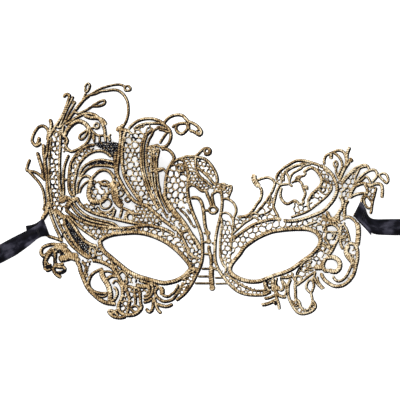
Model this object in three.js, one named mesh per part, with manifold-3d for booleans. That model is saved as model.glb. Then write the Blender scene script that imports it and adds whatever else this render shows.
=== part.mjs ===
// A venetian masquerade mask in gilt guipure lace, lying face up, with its two tie ribbons rolled up.
// Millimetres. X runs across the face, Y up the face and Z out of it, from the surface it lies on.
// Each lace motif is drawn flat as stitched cords, joined, cut back from its neighbours and then
// pressed into the arch that fits a face.
import * as THREE from "three";
import { mergeVertices } from "three/addons/utils/BufferGeometryUtils.js";
import Module from "manifold-3d";

const LACE_THICKNESS = 1.2;
const MOTIF_GAP = 0.3;
const STITCH_TOLERANCE = 0.1;
const ARCH_HEIGHT = 18;
const ARCH_REACH = 108;
const FOLD_POINT = { x: 1.15, y: -40 };
const FOLD_LEAN = 0.1483;
const EYELET_LIFT = 1.1;
const EYELET_FLAT_RADIUS = 9;

const RIBBON_WIDTH = 10.6;
const RIBBON_THICKNESS = 0.4;
const RIBBON_LOOP_RADIUS = 1.45;
const RIBBON_TAIL = 11;
const RIBBON_LIE = 0.25;
const ROLL_RADIUS = 8.2;
const ROLL_SIDES = 32;
const TACK = { from: 4.6, to: 5.8, low: 0.75, high: 2.05, width: 6 };

const RIBBONS = {
  left: {
    bar: [-110.3, -22],
    barDirection: [0.365, -0.931],
    route: [-110.3,-22, -117,-25.9, -124,-30.3, -131.5,-34.9, -141,-40.1, -152,-46],
    widths: [0,0.86, 6,0.92, 12,1],
    rollAt: 47.5,
  },
  right: {
    bar: [97, -10.3],
    barDirection: [0.526, 0.85],
    route: [97,-10.3, 99.8,-13.9, 103.2,-17.8, 108,-20.7, 114,-21.6, 125,-21.8, 137,-21.8],
    widths: [0,0.86, 6,0.7, 15,1],
    rollAt: 42,
  },
};

const GILT_LACE = { color: 0xc4a36c, roughness: 0.55, metalness: 0.45 };
const BLACK_SATIN = { color: 0x101016, roughness: 0.35, metalness: 0 };
const BLACK_THREAD = { color: 0x08080a, roughness: 0.8, metalness: 0 };

const cord = (width, route) => ({ width, points: pairs(route) });
const loop = (width, route) => ({ width, points: pairs(route), closed: true });
const disc = (width, centre) => ({ width, points: pairs(centre) });

function pairs(numbers) {
  return numbers.filter((_, i) => i % 2 === 0).map((x, i) => new THREE.Vector2(x, numbers[2 * i + 1]));
}

// Every motif is a list of the cords, closed loops and discs that are embroidered together.
// Motifs further down the list are cut back where they meet one that stands before them.
const MOTIFS = {
  "left_eye_rim": [
    loop(2.6, [-73.2,-30.5, -69,-27.6, -63,-25.9, -56,-25.1, -49,-24.8, -43,-25.6, -37,-27.4, -31,-30.1,
      -26.5,-33, -22.8,-36, -19.5,-39.2, -16.8,-42.2, -14.6,-45, -13.4,-48, -15.3,-50.8, -18,-53.4,
      -21.5,-55.6, -25.7,-57.1, -31,-57.9, -37,-56.8, -42.5,-55.3, -47.5,-53.9, -52,-52, -56,-49.6,
      -59.8,-46.6, -63.5,-43.6, -67.5,-40.3, -70.8,-37.5, -72.8,-34.3]),
  ],
  "right_eye_rim": [
    loop(2.6, [12.2,-48.4, 13.5,-45.2, 16,-42, 18.8,-38.6, 21.5,-34.6, 25.3,-31.5, 30,-28.4, 35,-26,
      40,-24.2, 45.5,-23.3, 52,-22.7, 58,-22.5, 63.5,-22.7, 68,-24.1, 71,-26.7, 72.2,-30.2, 71,-34,
      68.4,-37.3, 65.2,-40.3, 61,-43.2, 57.2,-46, 52.5,-49.2, 47.5,-51.3, 42.3,-52.8, 37,-54.8,
      31.5,-56.7, 25.5,-56.9, 20,-55.6, 15.5,-53.4, 12.8,-51]),
  ],
  "left_brow": [
    cord(1.9, [-96.5,-9.8, -93.5,-12.3, -89.5,-15.3, -85,-17.8, -80,-19.6, -74,-20.9, -68,-21.7, -62,-22.2,
      -55,-22, -48,-21, -42,-20.3, -37,-21, -32,-22.3, -27.5,-24.2, -24,-26.5]),
    cord(1.8, [-88.8,-1.5, -87.5,-5, -84.5,-8.3, -80.5,-10.8, -76,-12.7, -70,-14.3, -64,-15.8, -58,-17.2,
      -52,-18.5, -46,-19.5, -41,-20.4]),
    cord(1.4, [-91,-5.5, -88.3,-9, -84.5,-12.5, -80,-15, -74,-16.8, -68.5,-18, -64.5,-19.2, -61.5,-21.4]),
    cord(1.4, [-93,-6.5, -90.5,-10.5, -87,-13.8, -82,-16.5, -76,-18.3, -70,-19.5, -64.5,-21.2]),
    cord(3.4, [-96.2,-9.6, -94.2,-6, -92,-4.2, -89,-2.4]),
  ],
  "left_cheek": [
    cord(2.8, [-103.6,-9.5, -100.5,-12.5, -97.5,-14.8, -94.8,-14.2]),
    cord(1.5, [-94.8,-13.9, -91,-17.5, -87,-21.3, -83,-24.3, -79,-27, -75.5,-29.5]),
    cord(2, [-96,-14.5, -92.5,-18.7, -89.5,-23, -86.5,-27.5, -83,-31, -79,-33.2, -75.5,-34]),
    cord(2, [-97.5,-15, -96.5,-20.5, -94.5,-25, -92,-29.5, -89,-33.5, -86,-37, -82.5,-39.8, -79.8,-42]),
    cord(1.6, [-103.8,-10, -103.6,-12, -102,-16.5, -100.3,-20.5, -98,-25, -95.3,-29.5, -92.5,-33.3,
      -88.5,-36.8, -84.5,-40, -80.4,-42.3]),
  ],
  "left_eyelet": [
    cord(2.6, [-107.6,-9.8, -109.8,-13, -112.2,-16.6]),
    cord(1.6, [-106.9,-10, -106,-14, -104.3,-18.5, -102.7,-22.5, -101,-26, -99.3,-30]),
    cord(1.6, [-112.4,-16.4, -111.2,-20, -109.6,-24, -108.2,-27.6]),
    cord(1.6, [-108.4,-27.2, -104,-28.6, -100.5,-29.8, -98.3,-30.8]),
  ],
  "left_trunk": [
    cord(2, [-111,33.5, -111,28, -110.3,23.5, -110,19, -109.3,14, -108.6,9, -108.6,4, -108,-1, -107.4,-5,
      -107.2,-8]),
    cord(1.6, [-107.5,38, -108.3,33, -108.7,28, -110,23.5]),
    cord(1.2, [-105.8,38, -106.3,33, -107,28, -107.3,23, -107.4,17, -107.3,11, -106.8,5, -106,-1, -105.5,-5,
      -106.8,-8]),
    cord(1.4, [-105.6,37, -108.2,35.5]),
  ],
  "left_column": [
    cord(1.5, [-100,43, -99.8,38, -100,31, -100.3,25, -100.5,19, -100.3,13, -100.5,8, -99.6,3, -98.8,-2]),
    cord(1.5, [-94.3,26.5, -96.2,22, -97.4,18, -97.9,13, -98,8, -97.7,3.5, -97.9,-1.6]),
    cord(4, [-99.6,-1, -98,-5.6]),
  ],
  "left_hooks": [
    cord(1.5, [-120.1,23.6, -121.6,19.5, -122.2,16.5, -120,15.6, -116.5,14.9, -113,12.6, -110,9.5]),
    cord(1.3, [-121.2,15.9, -117.5,12, -114,8, -111.6,3.5, -110.6,-1.5, -110.2,-6, -111.3,-10.5]),
    cord(1.8, [-115.2,28.3, -114.3,25, -113,20.5, -111.8,16.5, -111.3,11.5]),
  ],
  "left_curl": [
    cord(1.6, [-108.6,36.2, -108,42.2, -110.9,45.5, -114.6,44.6, -117.9,39.5, -118.5,35.1, -115.7,32.4,
      -112.6,34.4]),
    cord(2, [-115.6,32.9, -114.3,35.5, -114,38.3]),
    cord(2, [-108.3,36.8, -107.2,39, -106.3,43.5, -106,47, -106.9,50.2]),
  ],
  "top_stems": [
    cord(1.8, [-108.5,36.1, -107.5,38, -105.3,41.5, -103,45.5, -100.5,49, -98.5,52.5, -97,55.5, -95.8,59,
      -94.6,62.5, -93.8,65, -94.7,66.4, -96.5,66.3, -98,64.4]),
    cord(1.4, [-103,45.5, -100.5,44.5, -98,46.5]),
    cord(1.2, [-100.5,44.5, -98.5,49.5, -96.8,53.5, -95,57.5, -93.2,61, -91.2,65.3]),
    cord(1.1, [-98,46.5, -95,52.5, -93.5,55.5, -92,58, -90.6,61.2]),
  ],
  "whiskers": [
    cord(1.8, [-97,48, -95,49.3, -92.3,53, -90,56, -87,59.8, -84,63.3, -80.5,66]),
    cord(1.1, [-82.5,64.8, -77.5,68, -74,70, -70,71.4, -65,72.6, -61,72.9, -58.5,72.3, -56.8,71]),
    loop(1.1, [-56.8,71.2, -55,71.9, -53.2,70.2, -54,68.9, -56.8,69]),
    cord(1.3, [-80.5,66, -76.5,67, -73,68.5, -69,68.9, -65,69.4, -61.5,68.9, -58.5,66.8, -56.3,63.8,
      -55.1,60.5, -54.7,56, -55,52.5, -56.2,48.5, -57.8,45.5]),
    cord(1.2, [-87,60.2, -84.8,63.5, -83,67.5]),
    loop(1.2, [-82.8,68, -83.6,70.5, -83,72.8, -81.5,73.7, -80.4,72.6, -81,70]),
    cord(1.3, [-90.3,54.8, -88,54, -84,55.5, -80.5,57.5, -78.5,58.9]),
    loop(1.3, [-78.5,58.9, -75.5,60.8, -72.5,62.3, -70.4,62.2, -70.6,60.3, -73,59, -76,58.6]),
  ],
  "small_arch": [
    cord(1.8, [-96.8,46.4, -93.5,47.8, -90.5,50.3, -87.5,52, -84.5,53.3, -80.5,53.7, -77,52.8, -74.6,50.8,
      -72.5,48, -71,44.8, -70.3,41.5, -70.2,38.5]),
    cord(1.6, [-97.3,46, -98.4,42.5, -98.2,39.5, -96.3,37.8, -95.2,35.6, -96.2,33, -95.8,31, -93.5,28.9]),
    cord(2.6, [-97.2,38.5, -95.8,42, -93.5,45.2, -91,47.4, -88.2,48.7, -85.5,48.2, -83,46.7, -80.8,43.8]),
    cord(1.6, [-80.6,43.8, -80.2,40, -80.8,37, -82.5,34.3, -85.5,31.8, -89,29.8, -92.5,28.7, -95,29.8]),
    loop(1.3, [-81.5,43, -84.5,41.3, -86.8,39.5, -87.3,37.6, -86,36.6, -84,37.8, -82.3,40.5]),
    cord(1.2, [-80,43.3, -78,41, -77.4,38, -77.5,34.5]),
    cord(1.2, [-79,42.2, -75.8,39.6, -74,39, -73.8,36.5, -74,34.3]),
    cord(1.2, [-74,39, -71.8,39.2, -70,38.6, -68,38.2, -66.3,40.3]),
    cord(3.2, [-81.2,44.4, -80,43.2]),
  ],
  "fan_rim": [
    cord(1.8, [-77,33, -81.5,32.3, -85.5,30, -88.7,27.3, -91.3,24, -93,20.5, -93.8,16, -94.2,11, -94.3,6,
      -93.6,2, -91.8,-1]),
    cord(1.6, [-66,25, -68.7,27.5, -72.5,29, -77,28.7, -81,27, -84.3,24.4, -87,21, -88.8,17, -89.6,13,
      -90.5,9, -91,5, -90.6,1, -90.6,-0.6]),
    cord(1.6, [-91.8,-0.4, -90,-0.6]),
  ],
  "fan_band": [
    cord(1.5, [-63.5,21.3, -68,22.3, -72.5,23, -77,22.5, -80.5,21, -84,18.8, -86.3,15.5, -87.3,11.5]),
    cord(1.5, [-63,17.8, -67.5,18.9, -72.5,19.3, -77.5,19, -81.5,17.2, -84.5,14.3, -87,11]),
  ],
  "medallion": [
    cord(1.8, [-79.2,10.6, -77,13, -74.3,15.4, -71,16.4, -67.8,15.6, -65.3,13, -64.3,9.8, -65.5,7.5,
      -68.5,6.2, -71.8,6.8, -73.8,8.8]),
    cord(1.4, [-79.3,10.5, -81.5,12.2, -84.5,12, -86.7,10, -88.2,6.5, -88.8,2.5, -88.6,0.5]),
    cord(1.2, [-79.6,9.9, -83.5,7.5, -86,4.5, -87.3,1]),
    cord(3, [-79,10.6, -79.8,7, -80.8,3, -80.8,-1, -79,-4, -75.8,-5, -72.3,-4.3, -70,-2, -68.7,0]),
    cord(2.2, [-64.3,8.6, -65,4, -64.7,0, -63.8,-3.5, -61.5,-6.5, -58.5,-8.5]),
  ],
  "plume_left_edge": [
    cord(2, [-60,43, -59.7,38, -60.2,33, -60.7,28, -61.3,23, -61.9,18, -62,14, -60.8,10.5, -58.8,6.8,
      -56.7,3.3, -53.8,-0.8, -50.5,-4.2, -46.5,-6.2, -42.5,-7.3, -38.5,-10.5, -34.5,-14, -30.5,-17.3,
      -26.5,-20.3, -23,-23.5]),
    cord(2, [-56.5,42.3, -57.8,37, -58.5,31.5, -58.8,26, -58.6,20.5, -57.9,15.5, -56.6,11, -54.5,6.8,
      -51.8,2.8, -49.3,-0.7, -46.8,-3.7, -45.2,-5.4]),
    cord(2.4, [-62.3,41.8, -61,44, -59.3,43.2, -56.5,42.4, -54.6,42]),
  ],
  "plume_right_edge": [
    cord(1.8, [-38,43.3, -41,41, -43.5,38, -45.2,34.5, -46,30, -46.1,25, -46,20, -45.3,15.5, -44.1,11,
      -42.8,6.5, -41,2, -39,-2, -37,-5.5, -34.5,-9.5]),
    cord(1, [-42.3,38.8, -43.8,34.5, -44.5,30, -44.7,25, -44.4,20, -43.7,15, -42.5,10.5, -41,6, -39.3,1.5,
      -37.3,-3]),
    cord(1.2, [-37.6,43, -39,39.5, -41,36, -42.2,32, -42.7,27.5, -42.7,23, -42.1,18, -41.2,13.5, -40.1,9,
      -38.9,5]),
  ],
  "plume_crest": [
    cord(1.6, [-54.5,43.5, -52.3,45.8, -49.5,48, -46,49.5, -42,50.1, -38,49.8, -34.5,48.7, -32,47.2,
      -30,45.2, -28,43.3, -26.8,41, -26.5,38, -27.3,35, -29,32.5, -31.5,31.3, -34,31.4]),
    cord(1.5, [-51,42.8, -48.5,45, -45,46.3, -41,47, -37,47, -33.5,46.8, -31,46.2]),
    cord(1.3, [-35.9,44.3, -33,44.4, -30.5,43.7, -28,42.6]),
    cord(1.2, [-34.6,42.6, -33,42.6, -31.5,42.3, -28.8,41.2, -26.9,41]),
    cord(1.3, [-28.8,41.3, -31,38.2, -33,35.2, -33.8,33.5]),
  ],
  "crest_curls": [
    cord(1.6, [-31,47, -29.3,49.3, -27,51.1, -24,52.2, -21,52.4, -18.5,51.6, -16.7,49.8, -15,48, -12,46.8,
      -9.3,45, -7.2,42.8, -6.3,40.5, -7.6,39, -9.5,40, -11.8,41.4, -14.3,42]),
    loop(1.6, [-23.2,43.8, -21.8,46.2, -19,46.8, -16.3,46.6, -15.4,44.3, -16.6,41.8, -19.3,39.9, -22,41]),
    cord(1.4, [-22.4,45.9, -24,45.6, -25.8,43.9]),
    cord(1.3, [-14.3,42, -14.7,44.5, -14.6,47.8]),
  ],
  "plume_inner_column": [
    cord(1.3, [-33.9,30, -36.5,29.4, -38.6,27.9, -39.3,23, -39.4,18, -39,13, -38.5,8.5, -37.6,4.5,
      -36.5,1.5, -34.8,-2.5, -33,-6.5, -31.3,-10]),
    cord(1.2, [-37.3,28.6, -37.3,22.5, -36.8,18.5, -36,16.5, -35.3,13, -35,9, -34.3,5.3, -33.3,2.8]),
    cord(1.3, [-34.2,29.8, -34.8,27, -35.7,23, -35.8,19.5, -35.6,16.9, -32.5,17.1, -30.6,16.6]),
  ],
  "centre_scroll": [
    cord(1.7, [-32.8,29.4, -31,30.2, -28,29.3, -25.6,27, -24.4,24.3, -25,22.3, -26.8,19.5, -28.3,16.8,
      -29.2,13.5, -29.9,9.5, -30.2,5, -30.2,0.5, -29.5,-4, -27.8,-8, -25.3,-11.5, -22,-15, -18.5,-19,
      -15,-23.3, -12,-27.3, -9.3,-31, -7.2,-34.2]),
    cord(1.8, [-24,-21, -20,-26, -17.5,-31, -15.5,-35.5, -14.3,-38.2, -11.5,-40.6, -8,-42]),
    cord(1.1, [-20.4,-25.5, -14.5,-23.5]),
  ],
  "centre_leaf": [
    cord(1.4, [-23.2,22.4, -21.5,23.2, -19,24, -16.5,25, -13.5,25.1, -10.5,25]),
    cord(1.5, [-10.8,24.9, -8.3,26.8, -6.3,28.9, -4,30.3, -1.7,30.1, -0.5,28.5, -1.2,26.7, -3.2,26.2,
      -4.6,27.4]),
    cord(1.6, [-10,24.6, -5,23.6, -2.3,21.8, 0,19.2, 1.9,16.2, 3.3,13, 3.9,10, 3.6,7.7, 2.5,6]),
    cord(1.4, [-10,24.8, -10.2,20.5, -9.8,16.5, -8.3,13, -6.3,10.6, -3.5,8.7, -1.3,6.8, 0.8,5.2]),
    cord(1.4, [-9.9,18, -6.5,15.8, -3.5,13.1, -1.2,10.8, 0.6,8.4, 2.7,6.3]),
  ],
  "centre_stem": [
    loop(1.4, [-22.6,17.4, -21.2,19.5, -18.8,19.5, -17.8,17.4, -18.8,15.3, -21.2,15.3]),
    cord(1.8, [-18.4,19.2, -16.6,18.6, -15.6,15.5, -15,12, -15,9, -15.5,4.5, -15.3,0.5, -14.6,-3.5,
      -13.6,-7.5, -12.2,-11.7, -10.4,-16, -8.7,-20, -7.2,-24, -6.2,-28, -5.8,-32, -5.7,-36, -5.8,-40,
      -6.4,-44, -7.4,-47.3, -8.8,-50.3, -10.2,-53.3, -11.7,-56.3, -13.5,-59.5, -15.5,-62.4, -17.8,-65,
      -20.5,-67.3, -23,-69.3]),
    cord(2.6, [-12.6,-48.6, -9.8,-49, -8.2,-49.6]),
  ],
  "nose_knot": [
    cord(1.8, [-13.4,-2.4, -11,-1.9, -8.3,-2.6, -6.4,-5.3, -5.4,-9, -4.8,-13.5, -4.4,-18, -3.7,-22,
      -2.6,-24.8]),
    disc(3.4, [-2.3,-25.2]),
    disc(3.4, [-1.8,-30.5]),
    cord(1.3, [-2.3,-25.2, -1.8,-30.5]),
    loop(1.4, [-1.5,-10, 0,-8.1, 2.4,-8.1, 3.9,-10, 2.4,-11.9, 0,-11.9]),
    cord(1.2, [-1.5,-10.2, -5.2,-10.4]),
    cord(1.8, [0.4,-8, -1,-3.5, -2.5,-0.3, -3.2,2.5]),
    cord(1.4, [2,-8, 0.8,-3, 0.8,0.5, 3.2,1.6]),
  ],
  "nose_drop": [
    cord(1.8, [-1.5,-33.2, -1.5,-36, -0.8,-39, -0.1,-42, -0.1,-44.5, 0,-46.5]),
    cord(3, [0,-46.5, 0,-50, 0,-54, 0.3,-58, 0.6,-60]),
    disc(3.8, [0.6,-60.9]),
    cord(0.9, [-6.4,-48.4, 0,-48.4]),
    cord(0.9, [-8.8,-53.4, 0,-53.4]),
    cord(0.9, [-10.9,-57.9, 0,-57.9]),
  ],
  "right_nose": [
    cord(1.8, [6.3,3, 7,-2, 7.1,-6, 6.6,-10.5, 5.9,-14.5, 4.8,-18.5, 3.9,-22.5, 3.1,-26.5, 2.6,-30.5,
      2.4,-35, 2.3,-40, 2.8,-44, 4,-47.5, 5.7,-50.7, 7.8,-53.5, 10,-56.3, 12.6,-59.2, 15.4,-61.8,
      18.8,-63.9, 22.5,-65.1, 26.5,-65.7, 30.5,-65.8, 34.5,-65.6, 37.3,-64.6, 38.8,-62.6]),
    cord(1.3, [9,-51.5, 12,-53.8, 15,-56, 18,-58.2, 21.3,-60, 24.3,-61.4, 27.3,-62.5, 30.5,-63,
      33.7,-62.8, 36.8,-62, 38.4,-62.6]),
    cord(1.5, [6.6,-15, 7,-19, 6.5,-23, 6.1,-27, 5.8,-31, 5.8,-35.5, 5.9,-40, 6.7,-43, 7.9,-45.8,
      9.6,-47.8, 9.4,-51]),
    loop(1.4, [5.7,5.3, 6.6,6.9, 8.6,6.9, 9.5,5.3, 8.6,3.7, 6.6,3.7]),
    cord(1.4, [9.3,5.4, 12.8,5.7, 13.2,3.3, 12.2,0.8, 10.8,-2.6]),
    cord(1.5, [7,-3, 9.5,-2.6, 12.3,-3.6, 14.8,-5.8, 16.2,-9, 16,-12, 14.9,-14.5, 14.4,-18, 14.2,-22,
      13.6,-27, 13,-32, 12.8,-37]),
    cord(1.3, [6.8,-12.2, 9.5,-11.8, 12,-12.9, 13.6,-15.3, 14.5,-17.6]),
    cord(0.9, [3,-49.2, 5,-49.4]),
    cord(0.9, [2.4,-54.4, 8.3,-54.2]),
    cord(0.9, [2.7,-58.2, 11.2,-58]),
  ],
  "right_brow": [
    cord(2, [14.5,-29, 17,-26.7, 20,-24.5, 23.3,-22.2, 26.8,-20, 30.5,-18.5, 34.5,-17.3, 38.5,-16.4,
      42.5,-16, 46,-16.2]),
    cord(1.6, [44,-15.6, 43.3,-13.2, 41.8,-10.5, 40.8,-7.5, 41.3,-4.5, 41.9,-1.8, 42.5,0.5, 43.1,2.5,
      44,4.5, 45.3,6.1, 47.2,6.7, 50.6,7.1]),
    cord(1.2, [14.5,-28.6, 13.9,-26, 18,-22, 22,-18.5, 26,-16, 28.5,-14.8, 32.3,-17.6]),
  ],
  "right_finial": [
    cord(3.4, [28.3,13.3, 27.9,11, 28.4,9, 29.8,7, 31.5,5.3]),
    cord(1.8, [31.5,5.3, 32.8,3.3, 33,0.5, 32,-3.3, 29.6,-6.4, 27.3,-10, 24.8,-12.8, 21.3,-14.3, 17,-14.6]),
    cord(1.6, [30,9.5, 33,10.6, 36.5,11.3, 39.2,10.6, 41.2,8.8, 41.7,7, 41,4.8, 40,2.2, 38.6,0, 36.8,-2.8,
      34.9,-5.4, 32.8,-8, 30.6,-10.4, 28.6,-12, 25.5,-13.2]),
  ],
  "right_crest": [
    cord(1.8, [42.3,9.9, 43.3,13, 45.4,15.8, 47.8,17.9, 50.4,19.4, 53,21, 55.6,22.2, 58.5,22.5, 62,22.2,
      65,21.4, 68.5,20.3, 71.5,19.3]),
    cord(2.2, [71.5,19.3, 74.3,18.2, 76.6,16.6, 78.6,14.6, 80.5,12.3, 81.6,9.6, 82.7,7, 83.3,4.3, 83,1.8,
      82.2,-0.6, 81,-3, 79.4,-5.2, 77.5,-7.4, 75.6,-9.4, 73.2,-11.2, 70,-12.6, 66.5,-14, 62.5,-15.4,
      58,-16.6, 54,-17.2, 50,-17.3, 47.4,-16.8]),
  ],
  "right_crest_arcs": [
    cord(1.6, [47.5,8.6, 47.4,12.5, 48.6,15.2, 50.9,17.2, 53.7,18.6, 56.6,19.4, 59.5,20.2, 61,20.7]),
    cord(1.3, [51.6,9.8, 52.4,12, 53.4,13.8, 55.3,15.1, 57.5,16.3, 59.5,17.6, 60,20]),
    cord(1.5, [48.6,15, 50.3,12.6, 51.2,9.5, 51.4,8.6]),
  ],
  "right_bowl": [
    cord(1.6, [46.1,4.7, 45.3,0.5, 46,-2.6, 47.8,-5, 50,-6, 52,-5.2, 54.3,-4, 56.2,-4.4, 57.6,-6,
      59.8,-6, 61.4,-4.8]),
    cord(1.5, [59.6,11.9, 57.5,12, 55.7,11, 56.1,9.6, 58,9, 59.5,7.5, 60.2,5.5, 61,3.3, 61.9,1, 61.3,-1.5,
      60.3,-3.5, 61.2,-5.4]),
    cord(1.3, [52.9,7.4, 54,8.6, 56.5,9]),
    cord(2.4, [61,4.4, 62.6,4]),
  ],
  "right_inner_arc": [
    cord(2, [60.8,14.2, 62,15.8, 63.7,17, 66,17.8, 68.3,16.8, 70.3,14.9, 72,12.4, 73,9.7, 72.5,7, 70.5,4.3,
      68.3,2.2, 66.2,0.2, 64.6,-2.6, 63.6,-4.4]),
    cord(1.4, [78.3,7.2, 79.4,5.5, 79.3,3.3, 78,1.2, 76.2,-0.9, 73.9,-3, 71.2,-5.2, 68.3,-7.4, 65.3,-9.8,
      62,-11.6, 58.5,-12.9, 55,-14, 52.3,-15]),
    cord(1.3, [63.8,-4, 64,-8, 64.4,-10.4]),
    cord(1.2, [73,9.7, 75.3,9.3, 78.3,7.2]),
  ],
  "right_flourish": [
    cord(1.7, [74.8,19.8, 74.4,21.8, 74.8,24, 76,26, 78.3,27.2, 80.5,28, 82.5,29, 85,29.3, 87.2,28.4,
      88.6,26.6, 89.3,24, 89.4,21.5, 88.7,18.8, 87.5,16.2, 86.3,13.5, 85.2,10.5]),
    cord(1.5, [80.5,27.8, 82.8,26.5, 84.6,24.8, 86,22.5, 86.6,20, 86.3,17.8, 84.9,15, 83.6,12.5]),
    loop(1.3, [81.2,21.6, 82.6,22, 83.4,19.9, 82.4,18, 81,19.9]),
    cord(1.4, [82.4,18.2, 82.5,15, 83.4,12.4, 84.3,10.4]),
    cord(2.4, [79.3,27, 79,23.4]),
    cord(2.2, [91.7,31.6, 90.3,28.5, 89.8,26.5, 89.7,24.5, 90,22]),
    cord(3.2, [93.3,24, 91.6,21.8]),
    cord(1.8, [91.6,21.8, 90,19.6, 88.3,17, 86.8,14, 85.4,10.4, 84.6,8.8]),
    cord(1.4, [83.4,12.4, 85.2,10.6]),
  ],
  "right_feather": [
    cord(1.7, [85.8,8.2, 87,9.6, 89.3,11.9, 91.5,14, 93.8,16.3, 96.3,18, 99,19.3, 101.8,19.7, 103.8,18.6,
      104.6,16.8]),
    cord(1.4, [103.5,18.8, 100.8,18.4, 98.5,17.5, 97.3,15.3, 96.2,12.9, 95.2,10, 95.8,7]),
    cord(1.7, [95.8,6.8, 96.8,9, 98.5,11.3, 100.8,13.4, 103.3,15.2, 106,16.4, 108.4,16.3, 109.8,14.4,
      110,12.6, 109.2,11.2, 107.5,9.3, 106.6,8.2]),
    cord(1.4, [97.1,8.4, 99.3,9.2, 101.2,11, 102.9,11.9, 104.5,10.4, 105.4,8, 105.6,6]),
    cord(2, [95.6,5.6, 98.5,7, 101.3,7.5, 103.8,6.8, 106,6, 108,6.9, 110.5,7.3, 112.6,6.6, 113.4,4.2,
      113.4,1, 113.1,-2.2]),
    cord(1.8, [91.9,-2.2, 93.6,-0.9, 96.3,0.3, 99,0.9, 101.5,1, 104,0.8]),
    cord(2.4, [92,-2.4, 92.5,0, 93,2.2, 94.2,4.4, 96,6.6]),
    cord(1.8, [101.8,6.8, 103,4.6, 103.5,2.3, 103.4,0.8]),
  ],
  "right_loop": [
    loop(1.5, [111.4,12.9, 112.8,14, 114.6,14.2, 116.4,13, 117.2,11, 117.2,8.9, 116.1,7.8, 114.3,9.4,
      112.4,11.2]),
  ],
  "right_eyelet": [
    cord(1.6, [100.6,-1, 103.6,-1]),
    cord(1.3, [102.8,-0.9, 101.3,-2.8, 101.6,-5.5, 102.8,-7.8, 104,-8.8, 106,-8.7]),
    cord(1.5, [100.8,-0.9, 99.6,-3.5, 99.7,-6.2]),
    cord(1.3, [103.4,-0.9, 104.6,-2.3, 105.9,-4.2, 106.8,-6.3]),
    cord(1.6, [109.4,5, 108.6,1.8, 108,-0.8, 107.2,-3.5, 106.7,-6.2, 106.3,-8.5, 106.1,-10.5, 105.4,-12.8]),
    cord(1.6, [99.8,-5.8, 94.6,-14.2]),
  ],
  "right_column": [
    cord(2.2, [76.4,-11, 78,-14.6, 80,-16, 82.3,-14.9, 84,-12.6, 85.6,-10.2, 87,-8, 87.2,-5, 86.3,-2.5,
      84.9,-0.6]),
    cord(2.2, [91.1,-3.9, 89.6,-5.2, 88.4,-8, 88.2,-11, 88.3,-14, 88.4,-16.2]),
    cord(2.8, [77.3,-17.2, 80,-17.6, 83,-17, 84.2,-16]),
    cord(1.5, [84.2,-12.8, 84.4,-15.3, 84,-17.5, 85.2,-18.8]),
    cord(2, [73.6,-12.9, 74.5,-14, 76.3,-16.2, 78,-17.4]),
    cord(1.5, [86.8,-8.5, 88.6,-9.2]),
  ],
  "right_side_scroll": [
    cord(1.8, [73.9,-23.8, 74.9,-22, 76.6,-20.3, 79.5,-19.6, 82.2,-20.4, 84.2,-22.6, 85,-25.4, 84.6,-28.2,
      83.2,-30.6, 82,-33, 80.8,-35.5, 79.3,-38, 77.7,-39.6]),
    cord(1.8, [85.5,-20.4, 86,-22, 85.6,-25, 85.7,-28, 85.5,-31, 86.3,-34, 87.4,-36.2]),
    cord(1.5, [88.4,-18.2, 87.8,-20, 89.4,-22.2, 90.4,-25, 91.2,-28, 91.6,-30.8]),
    cord(1.4, [85.6,-20.6, 87.9,-20]),
    cord(1.4, [76.2,-24.8, 79.3,-24.6, 81.5,-24.9, 84.8,-24.4]),
    cord(1.4, [79.8,-30, 81.6,-27.6, 82.5,-24.8]),
    cord(1.3, [76,-21.4, 75.9,-25, 75.6,-29, 77.4,-32, 78.5,-36.5, 79.5,-37.8]),
  ],
  "right_band": [
    cord(1.8, [89.1,-15.8, 89.8,-14.8, 92,-14.9, 94,-16.2, 96,-18.3]),
    cord(3.2, [96,-18.3, 97.2,-21, 97.5,-24.5, 97.4,-28, 97,-31.2, 96.7,-34]),
    cord(2.2, [90.5,-32.8, 93,-32.4, 95.3,-33.4, 96.7,-36, 97,-39.5, 96.8,-43, 96,-46.6, 95.2,-50, 94.2,-53,
      92.4,-55.8, 90,-58.2, 87,-60, 83.6,-60.6, 80.6,-60.1, 77.8,-58.5, 75.4,-56.6, 73.6,-54.3, 72.6,-51.8]),
    cord(3.4, [91.2,-33.6, 89.9,-35.6, 89.5,-38.3, 90.8,-41, 92.8,-43.3, 94.4,-45.2]),
    cord(1.6, [94,-44.8, 92.6,-47.5, 91.3,-50.5, 89.5,-53.8, 87,-56.3, 84.2,-57.2, 81.8,-56, 80.6,-53.8]),
    cord(1.4, [94.4,-45.4, 96,-46.6]),
  ],
  "right_cheek_curl": [
    cord(3, [76,-42, 78.5,-41.3, 81.5,-41.6, 84,-43.2, 85.2,-46, 84.6,-49, 82.4,-50.8, 79.8,-50.6,
      78,-49.6]),
    cord(2.4, [76,-42, 74.4,-44.5, 73.9,-47.5, 75.2,-50, 78,-50.4]),
    cord(3.6, [68,-48.6, 70.5,-48, 73.6,-48.2]),
  ],
  "right_fronds": [
    cord(1.8, [55.5,-56.8, 55.2,-60.5, 55.5,-63.5, 55.5,-66.5, 56,-69.6]),
    cord(1.6, [52.4,-55.4, 50.9,-59.5, 50.6,-63, 50.8,-66.5, 52,-70, 53.5,-73, 55.3,-75.8, 57.6,-78,
      60.8,-78.6, 64.3,-77.9, 67,-76.6, 68.9,-74.3, 68.6,-72, 67,-69.8]),
    cord(1.5, [55.4,-69.4, 57,-69.6, 58.2,-71, 59,-73.8, 60.6,-75.9, 63,-76.2, 65,-74.8, 66.3,-72.3,
      66.8,-69.6, 66.3,-66.8, 65.7,-64.6]),
    loop(1.5, [65.7,-64.6, 67.2,-62.2, 67.8,-59.5, 66.5,-56.4, 64.6,-56.6, 63,-59.2, 62.9,-61.8]),
    cord(1.5, [56,-60, 58.5,-58.2, 61.3,-56.2, 64,-54, 66.5,-52.3, 69.2,-50.6]),
    loop(1.3, [55.6,-55.7, 56.6,-53.9, 58.6,-53.9, 59.6,-55.7, 58.6,-57.5, 56.6,-57.5]),
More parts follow.
